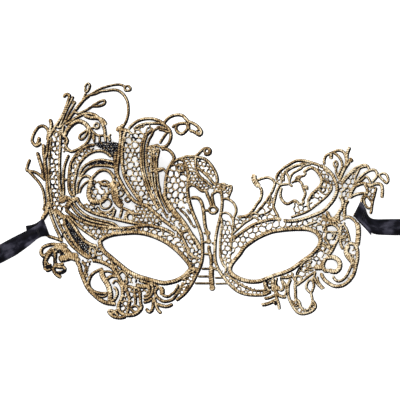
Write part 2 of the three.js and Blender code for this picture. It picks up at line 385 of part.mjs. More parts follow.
    cord(1.6, [66.6,-56.4, 67.8,-54.8, 69.5,-57.8, 71.5,-60.2, 73.8,-62.3]),
    cord(1.4, [67.8,-54.8, 68.8,-51]),
    cord(1.4, [53.6,-53.8, 54.7,-55.6, 55.4,-57]),
  ],
  "right_star": [
    cord(2.6, [34.6,-57.6, 35.4,-58.8, 36,-61, 37.6,-60.8]),
    cord(3.6, [40.3,-61, 43,-61.2, 44.8,-62.3]),
    cord(1.9, [40.8,-54.8, 40.3,-58, 40,-61, 41,-63.5]),
    cord(1.4, [36.6,-60.8, 40.2,-61.2]),
    cord(1.4, [43.2,-54.4, 42.4,-58, 42.6,-60.6]),
    cord(1.4, [45.6,-54.2, 46.8,-58, 47.4,-60.7, 46.4,-62.8, 44.6,-62.4]),
    cord(1.4, [46.4,-56.4, 48,-58, 49.2,-60.2, 49.6,-62.5, 49,-65, 47.4,-67.2]),
    cord(2, [42.6,-63, 43.3,-65.2, 45.3,-66.6, 47.6,-67.2, 49.4,-67]),
    cord(1.8, [42.2,-62, 42.5,-66, 43.3,-69, 44.3,-72, 44.8,-75.5]),
    cord(1.8, [42.4,-65.6, 39.8,-67, 37.3,-67.8, 34.8,-68.1]),
    cord(2.2, [43.3,-69, 41,-69.9, 38.2,-71.2, 35.3,-72, 33,-72.2]),
  ],
  "left_cheek_flower": [
    cord(2, [-95.5,-34.6, -98,-33, -101.5,-33.2, -105,-32.9, -108.5,-33.5, -111.3,-34.9, -112.7,-37.2,
      -112.3,-39.6, -110.6,-40.5, -108.5,-38.8, -106.3,-36.6, -103.8,-35.6]),
    cord(3.2, [-103,-35.2, -99.5,-35, -96.5,-36.4, -94.2,-38.6, -92.4,-40.4]),
    cord(4.4, [-101,-42.2, -97.5,-42.2, -94,-41.1, -90.5,-40.6, -88.4,-41.6]),
    cord(2.6, [-105.2,-36.8, -108.3,-40.8, -110,-44.5, -109.8,-48, -109.6,-50]),
    cord(2, [-105,-36, -103.3,-39.5, -103.6,-43, -103.4,-46, -104.3,-49.2, -103.6,-51.5, -101.5,-53.5,
      -99.3,-54.8]),
    cord(1.8, [-103.5,-47.5, -100.5,-48, -97.6,-48.2, -96.9,-49.7, -98.5,-51.2, -102.8,-51.9]),
    cord(1.6, [-109.7,-50.2, -107.6,-50, -104.4,-48]),
  ],
  "left_lower_scroll": [
    cord(2.4, [-89.2,-44.4, -87.3,-46.6, -86.6,-49.8, -85.2,-53.6, -83.8,-57, -82.2,-60.4, -80,-63.4,
      -77.5,-65.8, -74.7,-68.3, -71.6,-70.3, -68.6,-71.4, -65.4,-71.8, -62.8,-72.2]),
    cord(1.7, [-71.4,-48.8, -75,-50.2, -78,-52, -80,-54.6, -81,-57.8, -80.5,-61, -78.5,-63.3, -75.5,-64.6,
      -72,-65.2, -68.4,-65]),
    cord(3.2, [-72,-49.4, -72,-52.5, -71,-55, -69.3,-57.6, -67.8,-60.3, -67,-63.2, -66.4,-66, -66.6,-69,
      -67,-71]),
    cord(2, [-69.3,-56.5, -66.8,-54.3, -64,-53.6, -62.6,-54.4]),
    cord(1.6, [-64.2,-60.8, -62.3,-62.8, -61.9,-65.5, -62.9,-68, -64.4,-69.8, -66.6,-70.4]),
    cord(1.4, [-81,-58, -82.6,-59]),
    cord(1.4, [-85.5,-44.6, -83.5,-46.5, -82.6,-49.5, -83.3,-52.5, -84.8,-55]),
  ],
  "left_fronds": [
    cord(2.2, [-78.6,-43.6, -76,-43.6, -72.5,-44.4, -69,-45.8, -66,-47.5, -63.6,-50, -61.7,-53, -60,-56,
      -58.6,-59, -58.3,-62.5, -58.3,-66, -59.3,-69.2, -60.6,-72, -61,-74.7, -59.9,-77.2, -57.6,-78.8,
      -54.5,-79.2, -51,-78.8, -48,-77.2, -46.1,-74.8, -45.7,-72]),
    cord(1.8, [-58.6,-58, -57,-60, -55.7,-63, -54.5,-66, -53.8,-69, -53.9,-72, -54.4,-75, -55.5,-78]),
    cord(1.4, [-57,-60, -53,-60.5, -51.5,-61.2, -50.2,-63.2, -50.3,-65.5, -49.8,-68, -49.8,-71, -50.4,-73.2]),
    cord(1.7, [-51.4,-61, -48,-62, -46.8,-64.5, -46.6,-67.5, -46.5,-70.5, -45.8,-73.5]),
    loop(1.3, [-52.8,-75, -51.4,-73.4, -49.2,-73.2, -47.6,-74.6, -48.4,-76.6, -50.6,-77]),
    cord(1.3, [-53.9,-74.6, -52.6,-75]),
    cord(1.2, [-61,-52.6, -59,-50.6, -57,-51.2, -55.6,-53.6, -55.6,-57.4, -56.6,-60]),
    cord(1.8, [-60.8,-75.6, -63.4,-77.2, -65.6,-78.6, -67.4,-77.6, -67,-75.8]),
  ],
  "left_star": [
    cord(2.8, [-49.4,-59, -47.5,-60, -45,-60.2, -40.6,-60.4]),
    cord(1.4, [-47.8,-56.4, -43.8,-57.4, -41.3,-58.4, -40.8,-60.5, -40.2,-63, -40.8,-65.3, -42.5,-66.5,
      -44.4,-66.4]),
    cord(1.6, [-44.6,-68.6, -41.5,-67.8, -39.5,-66, -38.4,-63.5, -38.2,-61, -39.5,-59, -41.2,-58.4]),
    cord(1.6, [-44.6,-70.8, -41,-69.8, -38.8,-68.4, -36.8,-67.6, -36.3,-65.6]),
    cord(1.6, [-41.2,-58.4, -38.2,-58.6]),
    cord(1.6, [-38.2,-58.6, -35,-60.6, -36.7,-63.2, -36.3,-66, -34.2,-68.2, -31.3,-69.8, -28,-69.6,
      -25,-68.2, -23,-65.7, -21.2,-63, -19.4,-60, -18,-57.4]),
    cord(2.8, [-33.6,-60.6, -32.2,-62.6, -32.2,-66]),
    cord(1.4, [-32.2,-65.8, -28.5,-66.7, -26,-65.2, -24,-63.5, -22.4,-61, -21.5,-58.6]),
    cord(1.8, [-37.3,-67.6, -38,-71, -38.2,-73.5, -39,-75.8, -40.5,-76.9, -42,-75.8, -42.4,-74.4]),
    cord(1.6, [-37.3,-68.4, -36.3,-71.5, -35.6,-74.2, -34.3,-76.3, -32.6,-77.8]),
    cord(1.8, [-36.2,-71.6, -33,-72.6, -30,-73.2, -27.5,-72.8, -25.2,-71.5]),
    cord(1.4, [-35,-60.6, -33.6,-60.4]),
    cord(1.6, [-39.4,-58.8, -38.2,-58.6]),
  ],
};

const wasm = await Module();
wasm.setup();

// Half the width away from each point, along the mean normal of the two runs that meet there.
function offsetSide(points, distance, closed) {
  const count = points.length;
  return points.map((point, i) => {
    const before = points[i > 0 ? i - 1 : closed ? count - 1 : 0];
    const after = points[i < count - 1 ? i + 1 : closed ? 0 : count - 1];
    const incoming = point.clone().sub(i > 0 || closed ? before : point);
    const outgoing = after.clone().sub(point);
    if (incoming.length() === 0) incoming.copy(outgoing);
    if (outgoing.length() === 0) outgoing.copy(incoming);
    incoming.normalize();
    outgoing.normalize();
    const mean = incoming.clone().add(outgoing).normalize();
    const stretch = Math.min(1 / Math.max(mean.dot(incoming), 0.5), 1.4);
    return new THREE.Vector2(point.x - mean.y * distance * stretch, point.y + mean.x * distance * stretch);
  });
}

// The flat outline of one cord.
function outline({ width, points, closed }, margin = 0) {
  const half = width / 2 + margin;
  const [start] = points;
  if (points.length === 1) return new THREE.Shape().absarc(start.x, start.y, half, 0, 2 * Math.PI);
  const left = offsetSide(points, half, closed);
  const right = offsetSide(points, -half, closed);
  if (closed) {
    const ordered = THREE.ShapeUtils.area(left) > 0;
    const [inner, outer] = ordered ? [left, right] : [right.reverse(), left.reverse()];
    const shape = new THREE.Shape(outer);
    shape.holes.push(new THREE.Path(inner));
    return shape;
  }
  return new THREE.Shape([...left, ...right.reverse()]);
}

function toSolid(geometry) {
  geometry.deleteAttribute("normal");
  geometry.deleteAttribute("uv");
  const merged = mergeVertices(geometry, 1e-5);
  const vertProperties = new Float32Array(merged.attributes.position.array);
  const triVerts = new Uint32Array(merged.index.array);
  return new wasm.Manifold(new wasm.Mesh({ numProp: 3, vertProperties, triVerts }));
}

function toGeometry(solid) {
  const mesh = solid.getMesh();
  const geometry = new THREE.BufferGeometry();
  geometry.setAttribute("position", new THREE.BufferAttribute(new Float32Array(mesh.vertProperties), 3));
  geometry.setIndex(new THREE.BufferAttribute(new Uint32Array(mesh.triVerts), 1));
  return geometry;
}

function motifSolid(strands, margin = 0) {
  const depth = LACE_THICKNESS + 2 * margin;
  return strands
    .map((strand) => {
      const shape = outline(strand, margin);
      const geometry = new THREE.ExtrudeGeometry(shape, { depth, bevelEnabled: false, curveSegments: 5 });
      return toSolid(geometry.translate(0, 0, -margin));
    })
    .reduce((joined, solid) => joined.add(solid));
}

// A cord end left behind on the far side of a neighbour is dropped.
function biggestPiece(solid) {
  return solid.decompose().sort((a, b) => b.volume() - a.volume())[0];
}

// Height of the underside of the lace: an arch whose ridge is the fold line down the nose, with a
// small level place around each ribbon eyelet where the ribbon passes under the lace.
function laceHeight(x, y) {
  const across = (x - FOLD_POINT.x - FOLD_LEAN * (y - FOLD_POINT.y)) / Math.hypot(1, FOLD_LEAN);
  const reach = Math.min(Math.abs(across) / ARCH_REACH, 1);
  const arch = ARCH_HEIGHT * Math.cos((reach * Math.PI) / 2) ** 2;
  return Object.values(RIBBONS).reduce((height, { bar }) => {
    const level = Math.exp(-((Math.hypot(x - bar[0], y - bar[1]) / EYELET_FLAT_RADIUS) ** 4));
    return height * (1 - level) + EYELET_LIFT * level;
  }, arch);
}

function reshape(geometry, move) {
  const position = geometry.attributes.position;
  const point = new THREE.Vector3();
  for (let i = 0; i < position.count; i++) {
    move(point.fromBufferAttribute(position, i));
    position.setXYZ(i, point.x, point.y, point.z);
  }
  return geometry;
}

const mask = new THREE.Group();

function addPiece(name, geometry, finish) {
  const piece = new THREE.Mesh(geometry, new THREE.MeshStandardMaterial(finish));
  piece.name = name;
  mask.add(piece);
}

function addLace() {
  const placed = [];
  for (const [name, strands] of Object.entries(MOTIFS)) {
    let solid = motifSolid(strands);
    for (const clearance of placed) {
      if (clearance.box.intersectsBox(boxOf(solid))) solid = solid.subtract(clearance.solid);
    }
    solid = biggestPiece(solid).simplify(STITCH_TOLERANCE);
    const widened = motifSolid(strands, MOTIF_GAP);
    placed.push({ solid: widened, box: boxOf(widened) });
    const geometry = reshape(toGeometry(solid), (point) => {
      point.z += laceHeight(point.x, point.y);
    });
    addPiece(name, geometry, GILT_LACE);
  }
}

function boxOf(solid) {
  const { min, max } = solid.boundingBox();
  return new THREE.Box3(new THREE.Vector3(...min), new THREE.Vector3(...max));
}

// Maps a point of the straightened ribbon (x along it, y across it) to where it lies.
function ribbonPlace({ bar, barDirection, route, widths }) {
  const curve = new THREE.CatmullRomCurve3(pairs(route).map(({ x, y }) => new THREE.Vector3(x, y, 0)));
  const length = curve.getLength();
  const across = new THREE.Vector3(...barDirection, 0);
  const steps = pairs(widths);
  return (point) => {
    const along = Math.max(point.x, 0) / length;
    const centre = curve.getPointAt(Math.min(along, 1));
    const tangent = curve.getTangentAt(Math.min(along, 1));
    const side = new THREE.Vector3(-tangent.y, tangent.x, 0);
    const turn = THREE.MathUtils.smoothstep(point.x, 0, 8);
    side.lerp(across, 1 - turn).normalize();
    centre.addScaledVector(curve.getTangentAt(0), Math.min(point.x, 0));
    centre.addScaledVector(side, point.y * widthShare(steps, point.x));
    point.set(centre.x, centre.y, point.z);
  };
}

function widthShare(steps, along) {
  const after = steps.findIndex((step) => step.x > along);
  if (after === 0) return steps[0].y;
  if (after < 0) return steps.at(-1).y;
  const [a, b] = [steps[after - 1], steps[after]];
  return THREE.MathUtils.mapLinear(along, a.x, b.x, a.y, b.y);
}

// A flat outline in the ribbon's side view, x along the ribbon and y up, given the ribbon's width.
function acrossRibbon(shape, width) {
  const geometry = new THREE.ExtrudeGeometry(shape, { depth: width, bevelEnabled: false });
  return geometry.rotateX(Math.PI / 2).translate(0, width / 2, 0);
}

function addRibbon(side, ribbon) {
  const place = ribbonPlace(ribbon);
  const middle = RIBBON_LIE + RIBBON_LOOP_RADIUS;
  const tail = [RIBBON_TAIL, 8, 5, 2.5].map((x) => new THREE.Vector2(x, RIBBON_LIE));
  const bend = Array.from({ length: 9 }, (_, i) => {
    const angle = Math.PI * (1.5 - i / 8);
    const [across, up] = [Math.cos(angle), Math.sin(angle)];
    return new THREE.Vector2(RIBBON_LOOP_RADIUS * across, middle + RIBBON_LOOP_RADIUS * up);
  });
  const strapEnd = ribbon.rollAt - 4;
  const strapSteps = Math.ceil((strapEnd - 18) / 4);
  const strap = [3,3, 6,2.6, 9,1.9, 12,1.2, 15,0.6, 18,RIBBON_LIE];
  const lie = Array.from({ length: strapSteps }, (_, i) => {
    return new THREE.Vector2(18 + ((strapEnd - 18) * (i + 1)) / strapSteps, RIBBON_LIE);
  });
  const path = [...tail, ...bend, ...pairs(strap), ...lie];
  const left = offsetSide(path, RIBBON_THICKNESS / 2, false);
  const right = offsetSide(path, -RIBBON_THICKNESS / 2, false);
  const shape = new THREE.Shape([...left, ...right.reverse()]);
  addPiece(`${side}_ribbon`, reshape(acrossRibbon(shape, RIBBON_WIDTH), place), BLACK_SATIN);

  const tack = new THREE.Shape(pairs([
    TACK.from, TACK.low, TACK.to, TACK.low, TACK.to, TACK.high, TACK.from, TACK.high,
  ]));
  addPiece(`${side}_ribbon_tack`, reshape(acrossRibbon(tack, TACK.width), place), BLACK_THREAD);

  const end = new THREE.Vector3(ribbon.rollAt, 0, 0);
  const edge = new THREE.Vector3(ribbon.rollAt, 1, 0);
  place(end);
  place(edge);
  const roll = new THREE.CylinderGeometry(ROLL_RADIUS, ROLL_RADIUS, RIBBON_WIDTH, ROLL_SIDES);
  roll.rotateZ(Math.atan2(edge.y - end.y, edge.x - end.x) - Math.PI / 2);
  addPiece(`${side}_ribbon_roll`, roll.translate(end.x, end.y, ROLL_RADIUS), BLACK_SATIN);
}

addLace();
for (const [side, ribbon] of Object.entries(RIBBONS)) addRibbon(side, ribbon);

const bounds = new THREE.Box3().setFromObject(mask);
mask.position.set(-(bounds.min.x + bounds.max.x) / 2, -(bounds.min.y + bounds.max.y) / 2, -bounds.min.z);

export default mask;
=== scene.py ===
"""A venetian masquerade mask of gilt guipure lace, lying face up on a pale table with its black satin ties.

The lace is drawn in pattern millimetres, X across the face and Y up it, as it would be stitched flat,
and every stitched line is lifted onto the arch that the solid lace was pressed into.
"""
import math
import random

import bpy
import numpy as np
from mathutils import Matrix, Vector, geometry


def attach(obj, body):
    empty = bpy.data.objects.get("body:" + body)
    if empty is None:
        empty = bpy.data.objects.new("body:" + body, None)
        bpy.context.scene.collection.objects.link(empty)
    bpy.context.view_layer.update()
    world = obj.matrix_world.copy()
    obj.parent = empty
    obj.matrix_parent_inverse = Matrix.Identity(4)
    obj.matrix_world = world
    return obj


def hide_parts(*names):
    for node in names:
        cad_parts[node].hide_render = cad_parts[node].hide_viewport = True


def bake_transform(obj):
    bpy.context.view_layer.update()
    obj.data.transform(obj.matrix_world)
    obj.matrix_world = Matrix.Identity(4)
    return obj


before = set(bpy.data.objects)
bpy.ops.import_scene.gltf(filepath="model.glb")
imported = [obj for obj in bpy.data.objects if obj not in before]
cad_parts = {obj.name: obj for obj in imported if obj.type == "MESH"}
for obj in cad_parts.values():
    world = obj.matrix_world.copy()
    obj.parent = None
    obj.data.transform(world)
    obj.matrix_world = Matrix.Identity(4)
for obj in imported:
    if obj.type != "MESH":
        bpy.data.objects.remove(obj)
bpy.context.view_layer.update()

PATTERN_ORIGIN = (9.2162, 2.9263)
ARCH_HEIGHT = 18
ARCH_REACH = 108
FOLD_POINT = (1.15, -40)
FOLD_LEAN = 0.1483
EYELET_LIFT = 1.1
EYELET_FLAT_RADIUS = 9
EYELET_BARS = [(-110.3, -22), (97, -10.3)]

STITCH_PITCH = 1.5
STITCH_SLANT = 0.35 * STITCH_PITCH
# How far the black core of a cord is set off below and to the right of its gilt, away from the key light at
# the upper left: painted shadow.
SHADOW_SHIFT = np.array([0.22, -0.25])
# The way the gilt of a cord faces: mostly up, where the foil was pressed, and toward the key light at the
# upper left, so the lit side is gold and the far side black as painted light and shade.
FOIL_AND_LIGHT_SIDE = np.array([-0.5, 0.55, 0.67])
LINE_STEP = 0.5
SATIN_STEP = 0.37
THREAD_STEP = 0.55
CORE_TOP = 0.78
SATIN_TOP = 1.15
SHADE_TOP = 1.35
LEFT_CORE_MARGIN = 0.48
RIGHT_CORE_MARGIN = 0.32
RIGHT_PALENESS = 0.75
WIDE_CORD_HALF = 1.1
WIDE_CORD_SQUARENESS = 0.65

# Each ring of a bead: its share of the radius, its share of the height, and how much gilt it took.
BEAD_PROFILE = [
    (0.82, 0, 0.1),
    (1, 0.25, 0.6),
    (0.96, 0.5, 0.9),
    (0.8, 0.78, 1),
    (0.52, 0.94, 1),
    (0.2, 1, 1),
]
BEAD_SIDES = 12
BEAD_TONE = 0.7

NET_WIDTH = 1.55
NET_OPENNESS = 1.22
NET_OVERRUN = 0.7
NET_GAP_SHARE = 0.05
NET_GILT_SHARE = 0.72
KNOT_SHARE = 0.6
KNIT_WIDTH = 1.35
KNIT_GILT_SHARE = 0.1


def cord(width, route):
    return {"width": width, "points": pairs(route), "closed": False}


def loop(width, route):
    return {"width": width, "points": pairs(route), "closed": True}


def disc(width, centre):
    return {"width": width, "points": pairs(centre), "closed": False}


def pairs(numbers):
    return np.array(numbers, float).reshape(-1, 2)


# Every motif is a list of the cords, closed loops and discs that are embroidered together.
MOTIFS = {
  "left_eye_rim": [
    loop(2.6, [-73.2,-30.5, -69,-27.6, -63,-25.9, -56,-25.1, -49,-24.8, -43,-25.6, -37,-27.4, -31,-30.1,
      -26.5,-33, -22.8,-36, -19.5,-39.2, -16.8,-42.2, -14.6,-45, -13.4,-48, -15.3,-50.8, -18,-53.4,
      -21.5,-55.6, -25.7,-57.1, -31,-57.9, -37,-56.8, -42.5,-55.3, -47.5,-53.9, -52,-52, -56,-49.6,
      -59.8,-46.6, -63.5,-43.6, -67.5,-40.3, -70.8,-37.5, -72.8,-34.3]),
  ],
  "right_eye_rim": [
    loop(2.6, [12.2,-48.4, 13.5,-45.2, 16,-42, 18.8,-38.6, 21.5,-34.6, 25.3,-31.5, 30,-28.4, 35,-26,
      40,-24.2, 45.5,-23.3, 52,-22.7, 58,-22.5, 63.5,-22.7, 68,-24.1, 71,-26.7, 72.2,-30.2, 71,-34,
      68.4,-37.3, 65.2,-40.3, 61,-43.2, 57.2,-46, 52.5,-49.2, 47.5,-51.3, 42.3,-52.8, 37,-54.8, 31.5,-56.7,
      25.5,-56.9, 20,-55.6, 15.5,-53.4, 12.8,-51]),
  ],
  "left_brow": [
    cord(1.9, [-96.5,-9.8, -93.5,-12.3, -89.5,-15.3, -85,-17.8, -80,-19.6, -74,-20.9, -68,-21.7, -62,-22.2,
      -55,-22, -48,-21, -42,-20.3, -37,-21, -32,-22.3, -27.5,-24.2, -24,-26.5]),
    cord(1.8, [-88.8,-1.5, -87.5,-5, -84.5,-8.3, -80.5,-10.8, -76,-12.7, -70,-14.3, -64,-15.8, -58,-17.2,
      -52,-18.5, -46,-19.5, -41,-20.4]),
    cord(1.4, [-91,-5.5, -88.3,-9, -84.5,-12.5, -80,-15, -74,-16.8, -68.5,-18, -64.5,-19.2, -61.5,-21.4]),
    cord(1.4, [-93,-6.5, -90.5,-10.5, -87,-13.8, -82,-16.5, -76,-18.3, -70,-19.5, -64.5,-21.2]),
    cord(3.4, [-96.2,-9.6, -94.2,-6, -92,-4.2, -89,-2.4]),
  ],
  "left_cheek": [
    cord(2.8, [-103.6,-9.5, -100.5,-12.5, -97.5,-14.8, -94.8,-14.2]),
    cord(1.5, [-94.8,-13.9, -91,-17.5, -87,-21.3, -83,-24.3, -79,-27, -75.5,-29.5]),
    cord(2, [-96,-14.5, -92.5,-18.7, -89.5,-23, -86.5,-27.5, -83,-31, -79,-33.2, -75.5,-34]),
    cord(2, [-97.5,-15, -96.5,-20.5, -94.5,-25, -92,-29.5, -89,-33.5, -86,-37, -82.5,-39.8, -79.8,-42]),
    cord(1.6, [-103.8,-10, -103.6,-12, -102,-16.5, -100.3,-20.5, -98,-25, -95.3,-29.5, -92.5,-33.3,
      -88.5,-36.8, -84.5,-40, -80.4,-42.3]),
  ],
  "left_eyelet": [
    cord(2.6, [-107.6,-9.8, -109.8,-13, -112.2,-16.6]),
    cord(1.6, [-106.9,-10, -106,-14, -104.3,-18.5, -102.7,-22.5, -101,-26, -99.3,-30]),
    cord(1.6, [-112.4,-16.4, -111.2,-20, -109.6,-24, -108.2,-27.6]),
    cord(1.6, [-108.4,-27.2, -104,-28.6, -100.5,-29.8, -98.3,-30.8]),
  ],
  "left_trunk": [
    cord(2, [-111,33.5, -111,28, -110.3,23.5, -110,19, -109.3,14, -108.6,9, -108.6,4, -108,-1, -107.4,-5,
      -107.2,-8]),
    cord(1.6, [-107.5,38, -108.3,33, -108.7,28, -110,23.5]),
    cord(1.2, [-105.8,38, -106.3,33, -107,28, -107.3,23, -107.4,17, -107.3,11, -106.8,5, -106,-1, -105.5,-5,
      -106.8,-8]),
    cord(1.4, [-105.6,37, -108.2,35.5]),
  ],
  "left_column": [
    cord(1.5, [-100,43, -99.8,38, -100,31, -100.3,25, -100.5,19, -100.3,13, -100.5,8, -99.6,3, -98.8,-2]),
    cord(1.5, [-94.3,26.5, -96.2,22, -97.4,18, -97.9,13, -98,8, -97.7,3.5, -97.9,-1.6]),
    cord(4, [-99.6,-1, -98,-5.6]),
  ],
  "left_hooks": [
    cord(1.5, [-120.1,23.6, -121.6,19.5, -122.2,16.5, -120,15.6, -116.5,14.9, -113,12.6, -110,9.5]),
    cord(1.3, [-121.2,15.9, -117.5,12, -114,8, -111.6,3.5, -110.6,-1.5, -110.2,-6, -111.3,-10.5]),
    cord(1.8, [-115.2,28.3, -114.3,25, -113,20.5, -111.8,16.5, -111.3,11.5]),
  ],
  "left_curl": [
    cord(1.6, [-108.6,36.2, -108,42.2, -110.9,45.5, -114.6,44.6, -117.9,39.5, -118.5,35.1, -115.7,32.4,
      -112.6,34.4]),
    cord(2, [-115.6,32.9, -114.3,35.5, -114,38.3]),
    cord(2, [-108.3,36.8, -107.2,39, -106.3,43.5, -106,47, -106.9,50.2]),
  ],
  "top_stems": [
    cord(1.8, [-108.5,36.1, -107.5,38, -105.3,41.5, -103,45.5, -100.5,49, -98.5,52.5, -97,55.5, -95.8,59,
      -94.6,62.5, -93.8,65, -94.7,66.4, -96.5,66.3, -98,64.4]),
    cord(1.4, [-103,45.5, -100.5,44.5, -98,46.5]),
    cord(1.2, [-100.5,44.5, -98.5,49.5, -96.8,53.5, -95,57.5, -93.2,61, -91.2,65.3]),
    cord(1.1, [-98,46.5, -95,52.5, -93.5,55.5, -92,58, -90.6,61.2]),
  ],
  "whiskers": [
    cord(1.8, [-97,48, -95,49.3, -92.3,53, -90,56, -87,59.8, -84,63.3, -80.5,66]),
    cord(1.1, [-82.5,64.8, -77.5,68, -74,70, -70,71.4, -65,72.6, -61,72.9, -58.5,72.3, -56.8,71]),
    loop(1.1, [-56.8,71.2, -55,71.9, -53.2,70.2, -54,68.9, -56.8,69]),
    cord(1.3, [-80.5,66, -76.5,67, -73,68.5, -69,68.9, -65,69.4, -61.5,68.9, -58.5,66.8, -56.3,63.8,
      -55.1,60.5, -54.7,56, -55,52.5, -56.2,48.5, -57.8,45.5]),
    cord(1.2, [-87,60.2, -84.8,63.5, -83,67.5]),
    loop(1.2, [-82.8,68, -83.6,70.5, -83,72.8, -81.5,73.7, -80.4,72.6, -81,70]),
    cord(1.3, [-90.3,54.8, -88,54, -84,55.5, -80.5,57.5, -78.5,58.9]),
    loop(1.3, [-78.5,58.9, -75.5,60.8, -72.5,62.3, -70.4,62.2, -70.6,60.3, -73,59, -76,58.6]),
  ],
  "small_arch": [
    cord(1.8, [-96.8,46.4, -93.5,47.8, -90.5,50.3, -87.5,52, -84.5,53.3, -80.5,53.7, -77,52.8, -74.6,50.8,
      -72.5,48, -71,44.8, -70.3,41.5, -70.2,38.5]),
    cord(1.6, [-97.3,46, -98.4,42.5, -98.2,39.5, -96.3,37.8, -95.2,35.6, -96.2,33, -95.8,31, -93.5,28.9]),
    cord(2.6, [-97.2,38.5, -95.8,42, -93.5,45.2, -91,47.4, -88.2,48.7, -85.5,48.2, -83,46.7, -80.8,43.8]),
    cord(1.6, [-80.6,43.8, -80.2,40, -80.8,37, -82.5,34.3, -85.5,31.8, -89,29.8, -92.5,28.7, -95,29.8]),
    loop(1.3, [-81.5,43, -84.5,41.3, -86.8,39.5, -87.3,37.6, -86,36.6, -84,37.8, -82.3,40.5]),
    cord(1.2, [-80,43.3, -78,41, -77.4,38, -77.5,34.5]),
    cord(1.2, [-79,42.2, -75.8,39.6, -74,39, -73.8,36.5, -74,34.3]),
    cord(1.2, [-74,39, -71.8,39.2, -70,38.6, -68,38.2, -66.3,40.3]),
    cord(3.2, [-81.2,44.4, -80,43.2]),
  ],
  "fan_rim": [
    cord(1.8, [-77,33, -81.5,32.3, -85.5,30, -88.7,27.3, -91.3,24, -93,20.5, -93.8,16, -94.2,11, -94.3,6,
      -93.6,2, -91.8,-1]),
    cord(1.6, [-66,25, -68.7,27.5, -72.5,29, -77,28.7, -81,27, -84.3,24.4, -87,21, -88.8,17, -89.6,13,
      -90.5,9, -91,5, -90.6,1, -90.6,-0.6]),
    cord(1.6, [-91.8,-0.4, -90,-0.6]),
  ],
  "fan_band": [
    cord(1.5, [-63.5,21.3, -68,22.3, -72.5,23, -77,22.5, -80.5,21, -84,18.8, -86.3,15.5, -87.3,11.5]),
    cord(1.5, [-63,17.8, -67.5,18.9, -72.5,19.3, -77.5,19, -81.5,17.2, -84.5,14.3, -87,11]),
  ],
  "medallion": [
    cord(1.8, [-79.2,10.6, -77,13, -74.3,15.4, -71,16.4, -67.8,15.6, -65.3,13, -64.3,9.8, -65.5,7.5,
      -68.5,6.2, -71.8,6.8, -73.8,8.8]),
    cord(1.4, [-79.3,10.5, -81.5,12.2, -84.5,12, -86.7,10, -88.2,6.5, -88.8,2.5, -88.6,0.5]),
    cord(1.2, [-79.6,9.9, -83.5,7.5, -86,4.5, -87.3,1]),
    cord(3, [-79,10.6, -79.8,7, -80.8,3, -80.8,-1, -79,-4, -75.8,-5, -72.3,-4.3, -70,-2, -68.7,0]),
    cord(2.2, [-64.3,8.6, -65,4, -64.7,0, -63.8,-3.5, -61.5,-6.5, -58.5,-8.5]),
  ],
  "plume_left_edge": [
    cord(2, [-60,43, -59.7,38, -60.2,33, -60.7,28, -61.3,23, -61.9,18, -62,14, -60.8,10.5, -58.8,6.8,
      -56.7,3.3, -53.8,-0.8, -50.5,-4.2, -46.5,-6.2, -42.5,-7.3, -38.5,-10.5, -34.5,-14, -30.5,-17.3,
      -26.5,-20.3, -23,-23.5]),
    cord(2, [-56.5,42.3, -57.8,37, -58.5,31.5, -58.8,26, -58.6,20.5, -57.9,15.5, -56.6,11, -54.5,6.8,
      -51.8,2.8, -49.3,-0.7, -46.8,-3.7, -45.2,-5.4]),
    cord(2.4, [-62.3,41.8, -61,44, -59.3,43.2, -56.5,42.4, -54.6,42]),
  ],
  "plume_right_edge": [
    cord(1.8, [-38,43.3, -41,41, -43.5,38, -45.2,34.5, -46,30, -46.1,25, -46,20, -45.3,15.5, -44.1,11,
      -42.8,6.5, -41,2, -39,-2, -37,-5.5, -34.5,-9.5]),
    cord(1, [-42.3,38.8, -43.8,34.5, -44.5,30, -44.7,25, -44.4,20, -43.7,15, -42.5,10.5, -41,6, -39.3,1.5,
      -37.3,-3]),
    cord(1.2, [-37.6,43, -39,39.5, -41,36, -42.2,32, -42.7,27.5, -42.7,23, -42.1,18, -41.2,13.5, -40.1,9,
      -38.9,5]),
  ],
  "plume_crest": [
    cord(1.6, [-54.5,43.5, -52.3,45.8, -49.5,48, -46,49.5, -42,50.1, -38,49.8, -34.5,48.7, -32,47.2,
      -30,45.2, -28,43.3, -26.8,41, -26.5,38, -27.3,35, -29,32.5, -31.5,31.3, -34,31.4]),
    cord(1.5, [-51,42.8, -48.5,45, -45,46.3, -41,47, -37,47, -33.5,46.8, -31,46.2]),
    cord(1.3, [-35.9,44.3, -33,44.4, -30.5,43.7, -28,42.6]),
    cord(1.2, [-34.6,42.6, -33,42.6, -31.5,42.3, -28.8,41.2, -26.9,41]),
    cord(1.3, [-28.8,41.3, -31,38.2, -33,35.2, -33.8,33.5]),
  ],
  "crest_curls": [
    cord(1.6, [-31,47, -29.3,49.3, -27,51.1, -24,52.2, -21,52.4, -18.5,51.6, -16.7,49.8, -15,48, -12,46.8,
      -9.3,45, -7.2,42.8, -6.3,40.5, -7.6,39, -9.5,40, -11.8,41.4, -14.3,42]),
    loop(1.6, [-23.2,43.8, -21.8,46.2, -19,46.8, -16.3,46.6, -15.4,44.3, -16.6,41.8, -19.3,39.9, -22,41]),
    cord(1.4, [-22.4,45.9, -24,45.6, -25.8,43.9]),
    cord(1.3, [-14.3,42, -14.7,44.5, -14.6,47.8]),
  ],
  "plume_inner_column": [
    cord(1.3, [-33.9,30, -36.5,29.4, -38.6,27.9, -39.3,23, -39.4,18, -39,13, -38.5,8.5, -37.6,4.5,
      -36.5,1.5, -34.8,-2.5, -33,-6.5, -31.3,-10]),
    cord(1.2, [-37.3,28.6, -37.3,22.5, -36.8,18.5, -36,16.5, -35.3,13, -35,9, -34.3,5.3, -33.3,2.8]),
    cord(1.3, [-34.2,29.8, -34.8,27, -35.7,23, -35.8,19.5, -35.6,16.9, -32.5,17.1, -30.6,16.6]),
  ],
  "centre_scroll": [
    cord(1.7, [-32.8,29.4, -31,30.2, -28,29.3, -25.6,27, -24.4,24.3, -25,22.3, -26.8,19.5, -28.3,16.8,
      -29.2,13.5, -29.9,9.5, -30.2,5, -30.2,0.5, -29.5,-4, -27.8,-8, -25.3,-11.5, -22,-15, -18.5,-19,
